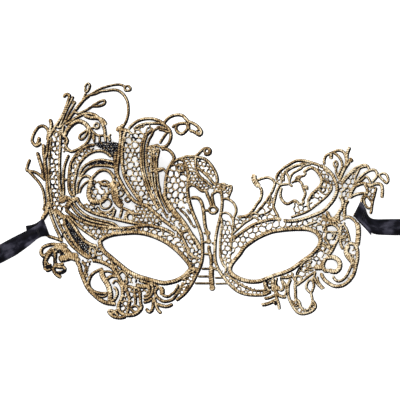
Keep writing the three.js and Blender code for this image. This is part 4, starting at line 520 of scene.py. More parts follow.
# Small stitched cords that tie the motifs together, drawn only here.
DETAILS = {
  "left_ties": [
    loop(1.1, [-70.5,9.3, -68.2,8.4, -68.2,7.5, -70.5,6.9, -72.8,7.6, -72.8,8.4]),
    loop(1.2, [-75.8,47.3, -74.4,46.4, -74.4,44.7, -75.8,43.9, -77.3,44.7, -77.3,46.4]),
    cord(1.2, [-77.3,44.6, -79.5,43.8]),
    loop(1.1, [-8,42.8, -6.8,42, -6.8,40.8, -8,40, -9.2,40.8, -9.2,42]),
    cord(2.2, [-84,52.5, -80,51, -76,50.8, -72,49.5, -69.5,46]),
    cord(1.3, [-97,-1, -93,-2.5, -91,-3.5]),
    cord(3, [-97.5,-3, -94,-2.6]),
    loop(1.1, [-78.5,-35, -76.6,-37, -76.8,-40.5, -78.5,-42, -80,-40.3, -80.2,-37]),
    loop(1, [-74,-34.6, -72.5,-36, -74,-37.6, -75.4,-36]),
    cord(1.2, [-66.5,-44.5, -63,-47.5, -60.8,-50.5]),
    loop(0.9, [-56.3,-56, -54.9,-57.5, -56.3,-59, -57.7,-57.5]),
    loop(0.9, [-48.6,-63.9, -47.2,-65.5, -48.6,-67.1, -50.1,-65.5]),
    cord(1, [-74.5,-66.5, -72,-67.5, -69.5,-66.8, -68,-65]),
    cord(1.4, [-9.5,-48.8, -12,-50.5, -14.5,-51.8, -16.5,-54, -19,-56.3]),
    cord(1.1, [-109,-44.5, -107.8,-46.4, -105.8,-46]),
    cord(3.6, [-104,-34.4, -101,-34.6, -98,-36, -96,-38.2, -94.6,-40]),
    cord(3.2, [-99.5,-41.8, -96,-42.4, -92.5,-41.6, -89.5,-42.6, -87,-44]),
    cord(1.6, [-100.5,-39.2, -98.6,-38.4, -97,-37.4]),
    cord(1.4, [-103.5,-38.8, -102.2,-37.4, -101,-36.2]),
    cord(3.2, [-66.4,7.4, -64,5.6, -62.6,3]),
    cord(2.2, [-31.2,1, -29.8,-3, -27,-7.4, -22.4,-12.8, -17.4,-19, -13.4,-25.4, -9.4,-31, -6.8,-36]),
    cord(1.1, [-20.6,-9.8, -17.2,-12.6, -14.4,-16.4, -12.6,-19.8]),
    cord(1, [-16,-9.4, -13.8,-12.8]),
    cord(1, [-12.6,-19.8, -10,-21.6]),
    loop(0.7, [-90.9,61.9, -90,61, -90.9,60.1, -91.8,61]),
    loop(0.9, [-60,3.2, -57.8,1, -60,-1.2, -62.2,1]),
    loop(0.9, [-55,-1.4, -53.2,-3, -55,-4.8, -56.8,-3]),
    cord(2.2, [-62.5,13, -63,18, -63.4,23, -62.6,28]),
    cord(1.1, [-4.6,-38.6, -1.5,-38.9]),
    cord(1.1, [-5.6,-31.2, -2.5,-30.8]),
    cord(1.1, [-5.2,-25.2, -3.2,-25]),
    cord(2, [-97.5,-45.8, -101,-46.5, -104,-46]),
    cord(1.6, [-78,39.5, -78,36.5]),
    cord(1.4, [-70.2,38.5, -69.6,35]),
    cord(1.4, [-67.6,38.8, -66.8,35]),
    cord(1.2, [-26,18.5, -24.5,21, -22.5,22.7, -20,22.9, -17.8,21.5, -16.3,18.5, -15.5,14.5]),
    cord(1.2, [-14.8,5, -13,6.2, -10.5,5.6, -8.5,4, -6.5,2.5, -4.5,2.2, -3,2.6]),
    cord(1.1, [1.6,1, 3.2,1.9, 5,1.8, 6.4,0.6]),
    loop(0.9, [-3,30.2, -1.3,28.8, -2.6,27, -4.6,28.2]),
    cord(1.6, [-57.3,46.2, -58.6,44.8, -59.6,43.2]),
    cord(2.2, [-61.8,42, -59.8,44.3, -57.8,46.4]),
    cord(1.1, [-57.2,37.5, -57,40, -55.8,41.6, -54,41.2, -52.2,40.2]),
    cord(1.2, [-38.5,41.8, -36,43.3, -33.5,44, -31,43.2]),
    cord(1.6, [-41,31.4, -38,31.8, -35.8,32.4, -34,31.4]),
    cord(1.1, [-32,17, -30.8,16.3, -29.6,14.6]),
    cord(1.3, [-39,15.2, -35,15.5, -31.8,16.6]),
    cord(1.2, [-34.2,3.6, -32.6,-2, -30.2,-7, -27.2,-12]),
    cord(1.1, [-36.6,15, -36.8,9, -36,3, -34,-4, -31.5,-10, -28.5,-15.5]),
    cord(3, [-66.3,6.3, -63.8,4.6, -62.4,1.5, -62.4,-2, -60.6,-5, -58.6,-7.6]),
    cord(1.8, [-65.3,2.4, -69,0, -72.5,-3.5]),
    cord(2, [-63.5,5, -60.6,7.4]),
    loop(1, [-70.3,-3.2, -67.2,-3.2, -66,-6, -68,-8.8, -71.4,-9, -73,-6.4]),
    cord(1.2, [-75.2,-8, -73.5,-10.8, -69.6,-11.8, -66,-10.4, -64,-8]),
    cord(1.8, [-63.4,-9.4, -65,-14.6]),
    cord(1.6, [-58.7,-9.4, -60.2,-15.2]),
    cord(1.5, [-53.4,-11.4, -55.9,-12.4, -57,-16.6]),
    cord(1.4, [-58.8,-8.6, -54.5,-10.4, -50.5,-12.4, -46.4,-13]),
    cord(1.6, [-106.6,-6.6, -105.6,-9.6, -104.6,-13]),
    cord(1.8, [-109.9,-9.6, -108.6,-7.2, -107.8,-4.6]),
    cord(2, [-110.9,-14, -108.8,-10, -107,-6]),
    cord(1.3, [-98.6,8.4, -97,9.8, -95.6,10.4]),
    cord(1.1, [-72.5,-52, -69,-50.6, -65,-51.6, -62.5,-54.5]),
    cord(1.2, [-65,-59, -63.6,-56.9, -61.2,-57.4, -58.9,-61.4, -58.3,-66, -59.5,-69.5, -61.5,-72]),
    cord(1.8, [-67,-78.4, -64,-80.4, -60,-81, -56,-80.3]),
    cord(1.6, [-66.8,-76, -64,-77.2, -61,-79.8]),
    loop(1.3, [-53.3,-12.2, -51.2,-13.6, -51.2,-16.4, -53.3,-17.6, -55.4,-16.4, -55.4,-13.6]),
  ],
  "right_ties": [
    cord(1.1, [13.5,-27.5, 18,-26, 22,-23.5, 26,-21]),
    cord(1.3, [60,-21.5, 64,-20, 67.5,-18.8, 70,-17.8]),
    cord(1, [28.6,-12.5, 32,-13, 35,-12.4, 37.5,-11.2, 39.8,-9.6]),
    cord(1, [39.2,-0.5, 38.6,-3, 37.9,-5, 38.6,-7.5]),
    loop(0.9, [73.3,5.5, 75.3,3.5, 73.3,1.5, 71.3,3.5]),
    loop(1, [73.6,-33.2, 75.6,-35.2, 73.6,-37.2, 71.6,-35.2]),
    cord(1.3, [74.2,-28.5, 76.5,-31, 78.3,-33.8, 78.5,-36.5, 76.5,-38.5]),
    cord(1.2, [73.2,-31.8, 76,-33.2, 77.6,-35.8]),
    cord(1.4, [66.5,-41.8, 63.5,-43, 61,-44.7, 59.3,-47, 58,-49.6, 56.8,-52.2, 55.5,-54.5]),
    cord(1.1, [66.5,-43.5, 65,-46, 63.8,-48.5, 65.5,-50, 67.5,-49.5]),
    disc(1.7, [63.4,-48.7]),
    cord(2, [46,-54, 49,-54.5, 52,-54, 54,-53]),
    cord(1.2, [70.2,-54, 70.6,-57, 72.5,-59.8, 74.8,-62]),
    disc(1.8, [86.8,-28.8]),
    cord(1.1, [86,-27.5, 88.3,-28.5, 90,-27]),
    cord(1.3, [91.7,-38.5, 92.6,-41.5, 94,-44.3]),
    loop(0.9, [66.8,-72.2, 68.6,-74, 66.8,-75.8, 65,-74]),
    loop(1, [56.2,-69.3, 58.2,-71.3, 56.2,-73.3, 54.2,-71.3]),
    loop(0.8, [38.5,-56.2, 39.7,-57.4, 38.5,-58.6, 37.3,-57.4]),
    cord(1, [33.5,-64.2, 36,-64, 38.5,-62.2]),
    cord(1.4, [41,-70.5, 43,-72.5]),
    cord(1.1, [76.5,-49.2, 77.8,-51]),
    cord(1.5, [61.3,-50.3, 63.8,-48.7, 66.5,-48]),
    cord(1.2, [46,7.5, 46.3,10.5, 48.2,13.8, 52.5,17.2, 58,19.4, 63,20.6]),
    cord(1.2, [51.2,6, 51.6,9.5, 52.6,12.8, 56.5,16, 61.5,19, 66,20.2]),
    cord(1.2, [42.3,8.5, 44.5,7.2, 47.5,6.6, 51,7, 53.5,5.2]),
    cord(1.3, [56.5,10.5, 58.5,11.8, 61,12.6, 62.5,14.5]),
    disc(2, [58,11]),
    cord(1.2, [60.8,5.8, 63,5.3, 63.2,3]),
    cord(1.2, [74.5,18.5, 76,15.5, 79,14.2, 81,12.5]),
    cord(1.9, [77.2,-12, 78,-15, 80.2,-16.8, 82.8,-15.4, 84.2,-12.4]),
    cord(1.5, [85.8,6.4, 88.5,9.6, 92,13.4, 95.6,16.8]),
    cord(1.3, [86.4,1.6, 88.2,3.6, 90.6,4.4, 92.4,3]),
    cord(2.4, [35.2,-57.4, 35.6,-59.6, 36.2,-61.6]),
    cord(1.3, [40.8,-56, 41.2,-58.6, 41,-61.2]),
    cord(2.2, [41.2,-61.2, 43.6,-61.8]),
    cord(1.2, [44.2,-62.2, 46,-63, 48,-62]),
    cord(1.3, [46.2,-55.2, 47.4,-58, 49,-60.2]),
    cord(1.2, [51.6,-56, 50.6,-58.2, 49.4,-60.2]),
    cord(1.8, [49.2,-60, 49.4,-62.4]),
    cord(1.2, [52.8,-51.2, 54.2,-53.2]),
    cord(1.2, [50,-52.2, 51.4,-54]),
  ],
}

# Cords that cross the fold down the nose.
NOSE_LINKS = [
  cord(1.1, [0.2,-31.4, 2.8,-32.4]),
  cord(1.1, [0.4,-39.4, 2.5,-40]),
  cord(1.1, [0.6,-47.8, 3.5,-49]),
  cord(1, [1,-43.6, 3,-44.6]),
]

# Fields of net: the cell size and the outline of each, in pattern millimetres.
NETS = {
  "left_temple_net": (2.7, [-106.6,30, -105.5,36, -104.5,41, -102.5,45, -100.5,44, -100.2,38, -100.3,25,
    -100.5,15, -100,5, -98.8,-2, -98,-6, -97.5,-10, -99,-14, -103.5,-10, -106,-8, -106,0, -107,10,
    -107.5,20]),
  "left_fan_net": (2.5, [-94.3,4, -94,12, -93,20, -91,24, -88,27.5, -85,30, -81,31.5, -78,30.5, -76,29,
    -81,26.5, -84,24, -87,20.5, -88.8,16, -90,10, -90.8,5, -91,1]),
  "left_bowl_net": (2.2, [-52,-8, -47,-7.2, -43,-8, -40,-9.8, -36,-13, -33,-16, -31,-18.5, -36,-20.5,
    -45,-19, -51,-17.8, -50.5,-13.5]),
  "left_bowl_end_net": (2.4, [-82,-5, -78,-5.3, -75.5,-8, -73.5,-11, -69.5,-12.4, -66,-12, -66,-15,
    -72,-13.5, -80,-10.5, -84,-7]),
  "left_medallion_net": (3.1, [-79,8, -76,9.5, -73.5,8, -70,6.3, -66.5,7, -65,4, -66.5,1.5, -69,0, -71,-2,
    -74,-3.5, -78,-3, -80,0, -80,5]),
  "left_wedge_net": (3, [-64.5,12, -62.5,14, -61,10, -58,5.2, -60.5,3.8, -62.8,1.6, -62.4,-1.6, -60.2,-1.8,
    -58.4,-4, -58.8,-7, -60.5,-8.4, -63,-5, -64.5,0, -65,6]),
  "left_fan_knit": (1.25, [-77.5,33.8, -72,34.5, -66,34.4, -61.8,33.8, -61.6,26, -62.4,20.5, -64,23.5,
    -66.2,27, -70,30, -74,31.6]),
  "left_band_knit": (1.25, [-82,19.5, -80.5,21.8, -75,22.8, -68,22, -63.5,21.3, -63.5,18.3, -70,19.2,
    -77,19.2]),
  "left_plume_net": (3, [-57,40, -54,43, -51,43.5, -45,46, -41,46.5, -38.5,43.5, -42,41, -44.5,36, -45.8,30,
    -46,25, -45.8,20, -45,14, -43,7, -40.5,0.5, -37.5,-5, -35,-9.5, -31,-17, -25,-20.5, -37,-13, -41,-9,
    -44,-7, -46,-5.5, -50,0, -54,6, -57,12, -58.5,18, -59,25, -58.5,32]),
  "left_inner_net": (2.2, [-42,31, -39.8,31, -39,25, -39.4,18, -38.8,10, -37.5,4, -34,-4, -30,-12, -33,-11,
    -37,-4, -39.5,4, -41.5,12, -42.5,20, -42.7,27]),
  "left_column_net": (2.1, [-38.8,30, -36,29.5, -36.5,20, -35.5,14, -38,14, -38.8,22]),
  "centre_net": (3.3, [-25.5,18.5, -22,22.5, -18,22, -16,18, -15.2,12, -15.5,1, -15,-3, -15.4,-8,
    -20.5,-9.6, -24.5,-9.4, -28,-5, -29.8,0, -29.6,8, -28,15]),
  "centre_band_net": (1.9, [-21,23.2, -17,25, -12,25, -10,24, -10,18, -8.5,13.5, -5,10.5, -1.5,7.5,
    -0.5,4.5, -3,2.6, -6.5,3, -10,5.8, -13.5,6.4, -15,6, -15.2,13, -16.3,19, -18.5,22.4]),
  "left_bud_net": (2.4, [-8.5,23.5, -5,23, -1.5,20.5, 1,17, 2.8,13.5, 3.2,10, 2.2,8.4, -1,12, -4.5,15.4,
    -8.8,18.4]),
  "left_knot_net": (1.7, [1,7, 3,6.8, 5.5,7.5, 7,6, 7,3, 5,2.2, 2,2.6, 0,4.6]),
  "left_fringe_net": (1.7, [-41.5,31, -35,31.6, -35.6,28.6, -38,28, -41.8,28.4]),
  "left_rim_net": (3.3, [-47,-21.5, -42,-21.5, -37,-22, -32,-23, -27,-25, -24,-27, -23.5,-25, -20.5,-26.5,
    -18,-31, -15,-37.5, -14,-39, -10,-41.5, -7,-42.5, -7,-46, -9,-49, -12,-48, -14,-45, -17,-41, -20,-37.5,
    -24,-34, -29,-30.5, -34,-28, -40,-26, -46,-25]),
  "left_rim_slit": (2.2, [-72,-24, -69,-22.5, -60,-23, -47,-21.5, -47,-24, -58,-24.4, -66,-25.5, -71,-28]),
  "left_nose_net": (2.8, [-30,-14, -27,-12, -22,-16, -18,-20, -15,-24, -11.5,-29, -7.5,-34, -6,-37, -6,-42,
    -9,-42, -13,-40, -15,-37, -17,-32, -20,-26, -23,-22, -27,-19]),
  "left_cheek_net": (3, [-93,-13.5, -88,-15, -84,-18.5, -78,-20.5, -72,-22, -68,-22.5, -64,-24.5, -69,-27,
    -73,-30, -77,-27.5, -83,-24, -88,-20]),
  "left_cheek_knit": (1.4, [-97,-16.5, -94,-17, -91,-22, -88,-27, -84,-31, -79,-34, -82,-38, -86,-37,
    -90,-31, -93,-26, -96,-21]),
  "left_edge_net": (2.8, [-104,-11, -101,-12, -98,-16, -96,-24, -92,-31, -87,-37, -90,-36, -95,-31, -99,-24,
    -101.5,-17]),
  "left_corner_net": (3.6, [-79,-34, -75,-34.5, -72,-37, -68,-41, -64,-45, -60,-49, -58,-52, -62,-50,
    -66,-47, -70,-45, -77,-43.5, -80,-40, -81,-37]),
  "left_scroll_net": (2.3, [-85,-43.5, -79,-44.5, -81,-47, -82,-52, -81.5,-55, -84,-55, -83.5,-50,
    -85,-46]),
  "left_under_net": (3, [-56,-50.5, -52,-53, -47,-55, -42,-56, -38,-57.5, -40.5,-58.5, -44,-58, -48,-57,
    -52,-58, -55,-57, -56.5,-54]),
  "left_star_net": (2.6, [-46,-61, -41,-61, -40.5,-65, -42.5,-67, -45,-66]),
  "left_frond_net": (2.9, [-58,-62, -55.5,-60.5, -52,-61, -50,-63, -50.5,-68, -53,-72, -54.5,-76, -58,-77,
    -60,-73, -58.5,-67]),
  "left_arch_net": (2.3, [-100,36, -97.5,37.5, -96,34, -96.3,31, -94,29, -99.5,28.5]),
  "left_lower_net": (2.2, [-18,-56, -12,-51, -8.5,-49.5, -10,-53, -13,-59, -17,-63, -22,-67.5, -21,-62]),
  "right_nose_net": (2.5, [7,-17, 12.5,-17.5, 13.8,-22, 13.5,-27, 13,-33, 12.8,-38, 14,-42, 12.5,-45,
    10,-47.5, 8.5,-46, 6.5,-41, 6,-35, 6.2,-28, 6.6,-22]),
  "right_rim_net": (3.2, [14.5,-28.5, 18,-26, 23,-22.5, 28,-20.5, 33,-18.8, 40,-17.5, 46,-17, 50,-18,
    58,-18, 64,-17, 70,-15, 74,-13.5, 77,-17, 77,-19.5, 73,-22, 70,-25, 66,-22.6, 58,-22, 48,-22.3, 40,-24,
    32,-27, 26,-30.5, 21,-34, 17,-38.5, 14,-42, 13.2,-38, 13.3,-32]),
  "right_brow_net": (2.6, [17,-15, 22,-14.5, 28,-13.5, 28,-15, 22,-18.5, 17,-23, 14,-26, 14,-19]),
  "right_finial_net": (3.4, [25,-13, 30,-11, 34,-7, 38,-2, 40,-1, 41,-5, 40.5,-9, 42,-13, 43.5,-16,
    38,-16.5, 33,-17.5, 28.5,-14.5]),
  "right_arcs_net": (2.5, [42.5,9, 47,9, 47,13, 48,15, 44.5,14]),
  "right_bowl_net": (3, [52,-6.5, 55,-4.5, 57.5,-6.5, 61,-6, 64,-5, 64.5,-10, 60,-12.5, 54,-14.5, 52,-15,
    53,-11, 53.5,-8]),
  "right_inner_net": (3.2, [73.5,9.5, 77,8.5, 79,5, 78.5,2, 75,-2, 71,-6, 66,-9.5, 64.2,-9, 64,-5, 66,0,
    70,4, 72.5,7]),
  "right_crest_net": (3, [70,19, 74,17, 78,13.5, 80.5,9, 81,6, 79,6.5, 77,9, 73.5,9.8, 72,12, 69,17]),
  "right_feather_net": (2.8, [83,8, 86,9, 90,13, 95,17, 98,18.5, 96.5,13, 95.5,9, 95.7,6.5, 93,2, 92,-2,
    88,-5, 87,-8, 87,-4, 85.5,-1, 83,1, 83.5,4]),
  "right_column_net": (2.7, [73,-13, 76,-16.5, 80,-18, 84,-17.5, 85,-13, 87,-9.5, 88.4,-15, 88.2,-19.5,
    86,-20.5, 83,-20.5, 79,-19.6, 75,-21, 72,-23, 71,-20]),
  "right_side_net": (2.9, [86,-20.5, 88,-20.3, 90,-24, 91.5,-29, 91,-31.5, 88,-33, 87.5,-35, 86,-31,
    85.8,-25]),
  "right_cheek_net": (3.1, [71,-25, 73.5,-23, 75.8,-21.5, 75.8,-29, 77.5,-32, 79,-37, 77.5,-39.5, 74,-41,
    70,-42, 66,-41.5, 68,-38, 71,-34.5, 72.8,-30]),
  "right_leaf_net": (3.3, [76,-24.8, 84.5,-24.5, 85,-27, 82,-33, 79.5,-37.5, 78,-33, 76,-29]),
  "right_under_net": (3.2, [66,-42, 70,-42.5, 74,-41.5, 75,-44, 74,-47.8, 68,-48.5, 64,-52, 60,-55.5,
    57,-57.5, 55.5,-54, 57,-51, 59,-47, 62,-44]),
  "right_frond_net": (2.3, [51.5,-70, 56,-70, 59,-74, 63,-76.2, 66,-75, 67,-71, 68.5,-73, 66,-76.5, 61,-78,
    56,-76]),
  "right_band_net": (2.5, [96,-34, 97,-40, 96.5,-45, 95.5,-52, 92,-57.5, 88,-59.5, 90,-57, 93,-51,
    94.5,-45.5, 93,-42, 94,-36]),
  "right_eyelet_net": (2.5, [100.5,1, 104.5,1.5, 103.5,5, 105.5,6, 108.5,5.5, 107,0, 106.6,-4, 104,-1.5,
    101,-1.5]),
  "right_knot_net": (1.7, [7.6,7.4, 9.6,7, 11.5,5.5, 12.8,2.5, 11,0.8, 8.6,1, 7.6,3]),
  "right_lower_net": (2.3, [7,-50, 9.5,-50.5, 15,-55.5, 22,-59.5, 30,-62.5, 36,-63.5, 33,-66, 24,-65.5,
    16,-61.5, 10,-56]),
}

# Black cords with no gilt over them, standing over the gilt where the lace looks dark: painted shade.
SHADES = {
  "left_shades": [
    cord(1.8, [-110.4,-41.5, -111,-45, -110.5,-48]),
    cord(2.6, [-109.8,-47.6, -107.4,-48.4, -105,-47.8]),
    cord(1.8, [-103.2,-51.4, -100,-51.8, -97.6,-50.6, -96.8,-49.4]),
    cord(1.4, [-106.8,-40, -104.4,-41, -103.6,-44, -104.2,-47]),
    cord(1.5, [-102.4,-38.6, -100.2,-38.2, -98.2,-38.8, -100,-40.6]),
    cord(1.6, [-98.5,-29, -98,-26.2, -97,-24.4]),
  ],
  "right_shades": [
    cord(2, [36.8,-56.8, 36.6,-59.2, 38,-61.4, 39.8,-60.6]),
    cord(1.8, [43.4,-55.4, 42.8,-58, 43.6,-60.2]),
    cord(1.4, [45.6,-54.6, 46.2,-57]),
    cord(2.2, [37.6,-65, 39.6,-64.2]),
    cord(1.7, [37.6,-68.2, 39.6,-67.8, 41.2,-66.6]),
    cord(2.2, [41.6,-70.2, 42.4,-71.6, 43.2,-72.2]),
    cord(1.4, [58.8,-47.4, 57,-50.4, 56,-53]),
  ],
}

TIES = {
  "left": {
    "strap_top": pairs([-112.4,-16.4, -114.5,-19.6, -118.5,-22.2, -122.4,-24, -131,-28.2, -139.3,-32.7,
      -146,-36.5, -153.9,-41]),
    "strap_bottom": pairs([-108.2,-27.6, -111.6,-27.9, -115.4,-29.8, -120,-33.6, -128.5,-39.8, -134,-42.8,
      -139.3,-45.6, -148.9,-50.4]),
    "tail_top": pairs([-112.4,-16.4, -116,-18.9, -119.4,-20.1, -122.9,-20.7]),
    "tail_bottom": pairs([-108.2,-27.6, -112.5,-27.6, -117,-29.2, -120.8,-31.4]),
    "flare": 0.9,
  },
  "right": {
    "strap_top": pairs([100.2,-5.4, 102.3,-9.4, 103.7,-13.2, 106.2,-15.7, 110.4,-16.3, 118,-16.2, 126,-16.2,
      134.9,-16.5]),
    "strap_bottom": pairs([95.4,-15.2, 98.6,-17.8, 101.6,-20.8, 105,-24.5, 109.5,-26.5, 118,-27, 126,-27.1,
      134.9,-27.1]),
    "tail_top": pairs([100.2,-5.4, 102,-10, 104,-15, 106.4,-20]),
    "tail_bottom": pairs([95.4,-15.2, 98.4,-18.6, 102.2,-22.6, 106.3,-27.4]),
    "flare": 1.2,
  },
}
TIE_THICKNESS = 0.34
TIE_LIE = 0.25
TIE_COLUMNS = 8
TAIL_STATIONS = 9
STRAP_STATIONS = 60
FOLD_STEPS = 12
FOLD_RADIUS = 1.42
BAR_HEIGHT = 1.7
STRAP_FALL = [(0, 3.12), (3, 2.95), (6, 2.5), (9, 1.85), (12, 1.15), (15, 0.6), (18, 0.3), (21, TIE_LIE)]
PLEAT_HEIGHT = 2.2
PLEATS = 1.5
ROLL_OUTER = 8
ROLL_INNER = 3
ROLL_PITCH = 0.45
ROLL_STEPS = 30
WEFT_PITCH = 0.35

STITCH_ROWS = (4.6, 6)
STITCH_LENGTH = 0.075
STITCH_STARTS = np.arange(0.08, 0.9, 0.115)
STITCH_HEIGHT = 0.38

VIEW_CENTRE = (-7.26, -3.63)
VIEW_WIDTH = 0.264
FOCUS_HEIGHT = 0.006


def lace_height(x, y):
    """Height of the underside of the lace, in mm: an arch over the nose, level at each ribbon eyelet."""
    across = (x - FOLD_POINT[0] - FOLD_LEAN * (y - FOLD_POINT[1])) / math.hypot(1, FOLD_LEAN)
    height = ARCH_HEIGHT * np.cos(np.minimum(np.abs(across) / ARCH_REACH, 1) * math.pi / 2) ** 2
    for bar_x, bar_y in EYELET_BARS:
        level = np.exp(-((np.hypot(x - bar_x, y - bar_y) / EYELET_FLAT_RADIUS) ** 4))
        height = height * (1 - level) + EYELET_LIFT * level
    return height


def to_frame(points):
    """Pattern millimetres to metres in the model's frame."""
    return (np.asarray(points, float) + [*PATTERN_ORIGIN, 0]) / 1000


def smooth_line(points, closed, step):
    """Points about step apart along a smooth curve through the given ones."""
    count = len(points)
    line = []
    for i in range(count if closed else count - 1):
        here, after = points[i], points[(i + 1) % count]
        before = points[i - 1] if closed or i > 0 else 2 * here - after
        beyond = points[(i + 2) % count] if closed or i + 2 < count else 2 * after - here
        steps = max(1, round(float(np.linalg.norm(after - here)) / step))
        t = (np.arange(steps) / steps)[:, None]
        bend = 2 * before - 5 * here + 4 * after - beyond
        twist = 3 * here - before - 3 * after + beyond
        line.append(0.5 * (2 * here + (after - before) * t + bend * t**2 + twist * t**3))
    if not closed:
        line.append(points[-1:])
    return np.vstack(line)


def distance_along(line):
    return np.concatenate([[0], np.cumsum(np.linalg.norm(np.diff(line, axis=0), axis=1))])


def evenly(points, count):
    """count points evenly spaced along the smooth curve through the given ones."""
    line = smooth_line(points, False, LINE_STEP)
    along = distance_along(line)
    wanted = np.linspace(0, along[-1], count)
    return np.column_stack([np.interp(wanted, along, line[:, axis]) for axis in range(2)])


def new_piece(name, points, faces, attributes, material):
    """A smooth object from points in pattern millimetres, with the value of each attribute at each point."""
    mesh = bpy.data.meshes.new(name)
    mesh.from_pydata(to_frame(points).tolist(), [], faces)
    for key, values in attributes.items():
        attribute = mesh.attributes.new(key, "FLOAT", "POINT")
        attribute.data.foreach_set("value", values.astype(np.float32))
    mesh.shade_smooth()
    mesh.materials.append(material)
    piece = bpy.data.objects.new(name, mesh)
    bpy.context.scene.collection.objects.link(piece)
    return piece


class Stitching:
    """Gathers stitched cords, each a tube of rings of points, with what the thread material needs at each
    point: how much gilt it took, which is partly painted light and shade by the way it faces, how far
    along its stitches it is, and the tone of its cord."""

    def __init__(self, seed, on_right=False):
        self.points, self.faces = [], []
        self.core_margin = RIGHT_CORE_MARGIN if on_right else LEFT_CORE_MARGIN
        self.paleness = RIGHT_PALENESS if on_right else 0
        self.marks = {"gilt": [], "stitch": [], "tone": []}
        self.count = 0
        self.random = random.Random(seed)

    def add_rings(self, rings, gilt, stitch, tone, closed):
        count, sides = rings.shape[:2]
        index = self.count + np.arange(count * sides).reshape(count, sides)
        ahead = np.roll(index, -1, axis=0) if closed else index[1:]
        here = index if closed else index[:-1]
        around_here, around_ahead = np.roll(here, -1, axis=1), np.roll(ahead, -1, axis=1)
        quads = np.stack([here, ahead, around_ahead, around_here], axis=-1)
        self.faces += quads.reshape(-1, 4).tolist()
        if not closed:
            self.faces += [index[0].tolist(), index[-1][::-1].tolist()]
        self.points.append(rings.reshape(-1, 3))
        for values, given in zip(self.marks.values(), (gilt, stitch, tone)):
            values.append(np.broadcast_to(given, (count, sides)).reshape(-1))
        self.count += count * sides

    def add_tube(self, line, closed, half_width, low, high, gold, sides=8, ribs=0.0, ground=None):
        """A cord along line that stands from low to high above the lace's underside, or above ground."""
        tangent = np.gradient(line, axis=0)
        if closed:
            tangent = np.roll(line, -1, axis=0) - np.roll(line, 1, axis=0)
        tangent /= np.maximum(np.linalg.norm(tangent, axis=1), 1e-9)[:, None]
        normal = np.column_stack([-tangent[:, 1], tangent[:, 0]])
        along = distance_along(line)
        width = np.full(len(line), float(half_width))
        if not closed:
            reach = np.minimum(np.minimum(along, along[-1] - along) / max(half_width, 0.3), 1)
            width *= 0.5 + 0.5 * np.sqrt(1 - (1 - reach) ** 2)
        angle = 2 * math.pi * (np.arange(sides) + 0.5) / sides
        squareness = WIDE_CORD_SQUARENESS if half_width > WIDE_CORD_HALF else 1
        across = np.sign(np.cos(angle)) * np.abs(np.cos(angle)) ** squareness
        up = np.sign(np.sin(angle)) * np.abs(np.sin(angle)) ** squareness
        stitch = along[:, None] + STITCH_SLANT * across[None, :]
        swell = 1 + ribs * np.cos(2 * math.pi * stitch / STITCH_PITCH)
        sideways = width[:, None] * across * swell
        flat = line[:, None, :] + normal[:, None, :] * sideways[:, :, None]
        floor = lace_height(line[:, 0], line[:, 1]) if ground is None else ground
        rise = (low + high) / 2 + (high - low) / 2 * up * swell
        rings = np.dstack([flat, floor[:, None] + rise])
        gilt = 0.0
        if gold:
            # Gold on the top and on the upper-left side toward the key light, black below and to the right:
            # painted light and shade over the real foil.
            toward_light = (normal @ FOIL_AND_LIGHT_SIDE[:2])[:, None] * across + FOIL_AND_LIGHT_SIDE[2] * up
            gilt = np.clip((toward_light + 0.42) / 0.5, 0, 1)
        self.add_rings(rings, gilt, stitch, self.paleness + self.random.random(), closed)

    def add_bead(self, centre, radius, low, high, gold):
        """A dome of thread."""
        turn = np.linspace(0, 2 * math.pi, BEAD_SIDES, endpoint=False)
        circle = np.column_stack([np.cos(turn), np.sin(turn)])
        share, rise, foil = np.array(BEAD_PROFILE).T
        flat = circle * radius * share[:, None, None] + centre
        heights = lace_height(*centre) + (low + (high - low) * rise)
        grid = (len(BEAD_PROFILE), BEAD_SIDES)
        rings = np.dstack([flat, np.broadcast_to(heights[:, None], grid)])
        gilt = foil[:, None] if gold else 0.0
        stitch = np.broadcast_to(turn * radius, grid)
        self.add_rings(rings[:, ::-1], gilt, stitch, BEAD_TONE, False)

    def add_strand(self, strand):
        """One embroidered cord: a black core set off below and to the right of its gilt satin stitch as
        painted shadow.
        """
        half, points, closed = strand["width"] / 2, strand["points"], strand["closed"]
        if len(points) == 1:
            # A bead's black core is set off below and to the right of its gilt dome as painted shadow.
            self.add_bead(points[0] + SHADOW_SHIFT, half + 0.22, 0.05, CORE_TOP + 0.02, False)
            self.add_bead(points[0] - 0.3 * SHADOW_SHIFT, half * 0.92, 0.5, 1.1 + half * 0.5, True)
            return
        core = smooth_line(points, closed, LINE_STEP) + SHADOW_SHIFT
        self.add_tube(core, closed, half + self.core_margin, 0.0, CORE_TOP, False, ribs=0.07)
        satin = smooth_line(points, closed, SATIN_STEP) - 0.5 * SHADOW_SHIFT
        self.add_tube(satin, closed, half * 0.92 - 0.13, 0.34, SATIN_TOP + 0.08 * half, True, ribs=0.1)

    def add_shade(self, strand):
        """One black cord of painted shade that stands as high as the gilt ones beside it."""
        line = smooth_line(strand["points"], False, LINE_STEP)
        self.add_tube(line, False, strand["width"] / 2, 0.1, SHADE_TOP, False, ribs=0.1)

    def add_thread(self, start, end, width, gold):
        """One thread of net: black, set off below and to the right as painted shadow, with its gilt set off
        above and to the left as painted light.
        """
        middle = (start + end) / 2 + [self.random.uniform(-0.2, 0.2), self.random.uniform(-0.2, 0.2)]
        line = smooth_line(np.array([start, middle, end]), False, THREAD_STEP)
        half = width / 2 * self.random.uniform(0.85, 1.15)
        self.add_tube(line + 0.5 * SHADOW_SHIFT, False, half, 0.1, 0.7, False, sides=6, ribs=0.1)
        if gold:
            gilt_line = line - 0.4 * SHADOW_SHIFT
            self.add_tube(gilt_line, False, half * 0.48, 0.42, 0.9, True, sides=6, ribs=0.12)

    def make(self, name, material):
        attributes = {key: np.concatenate(values) for key, values in self.marks.items()}
        return new_piece(name, np.vstack(self.points), self.faces, attributes, material)


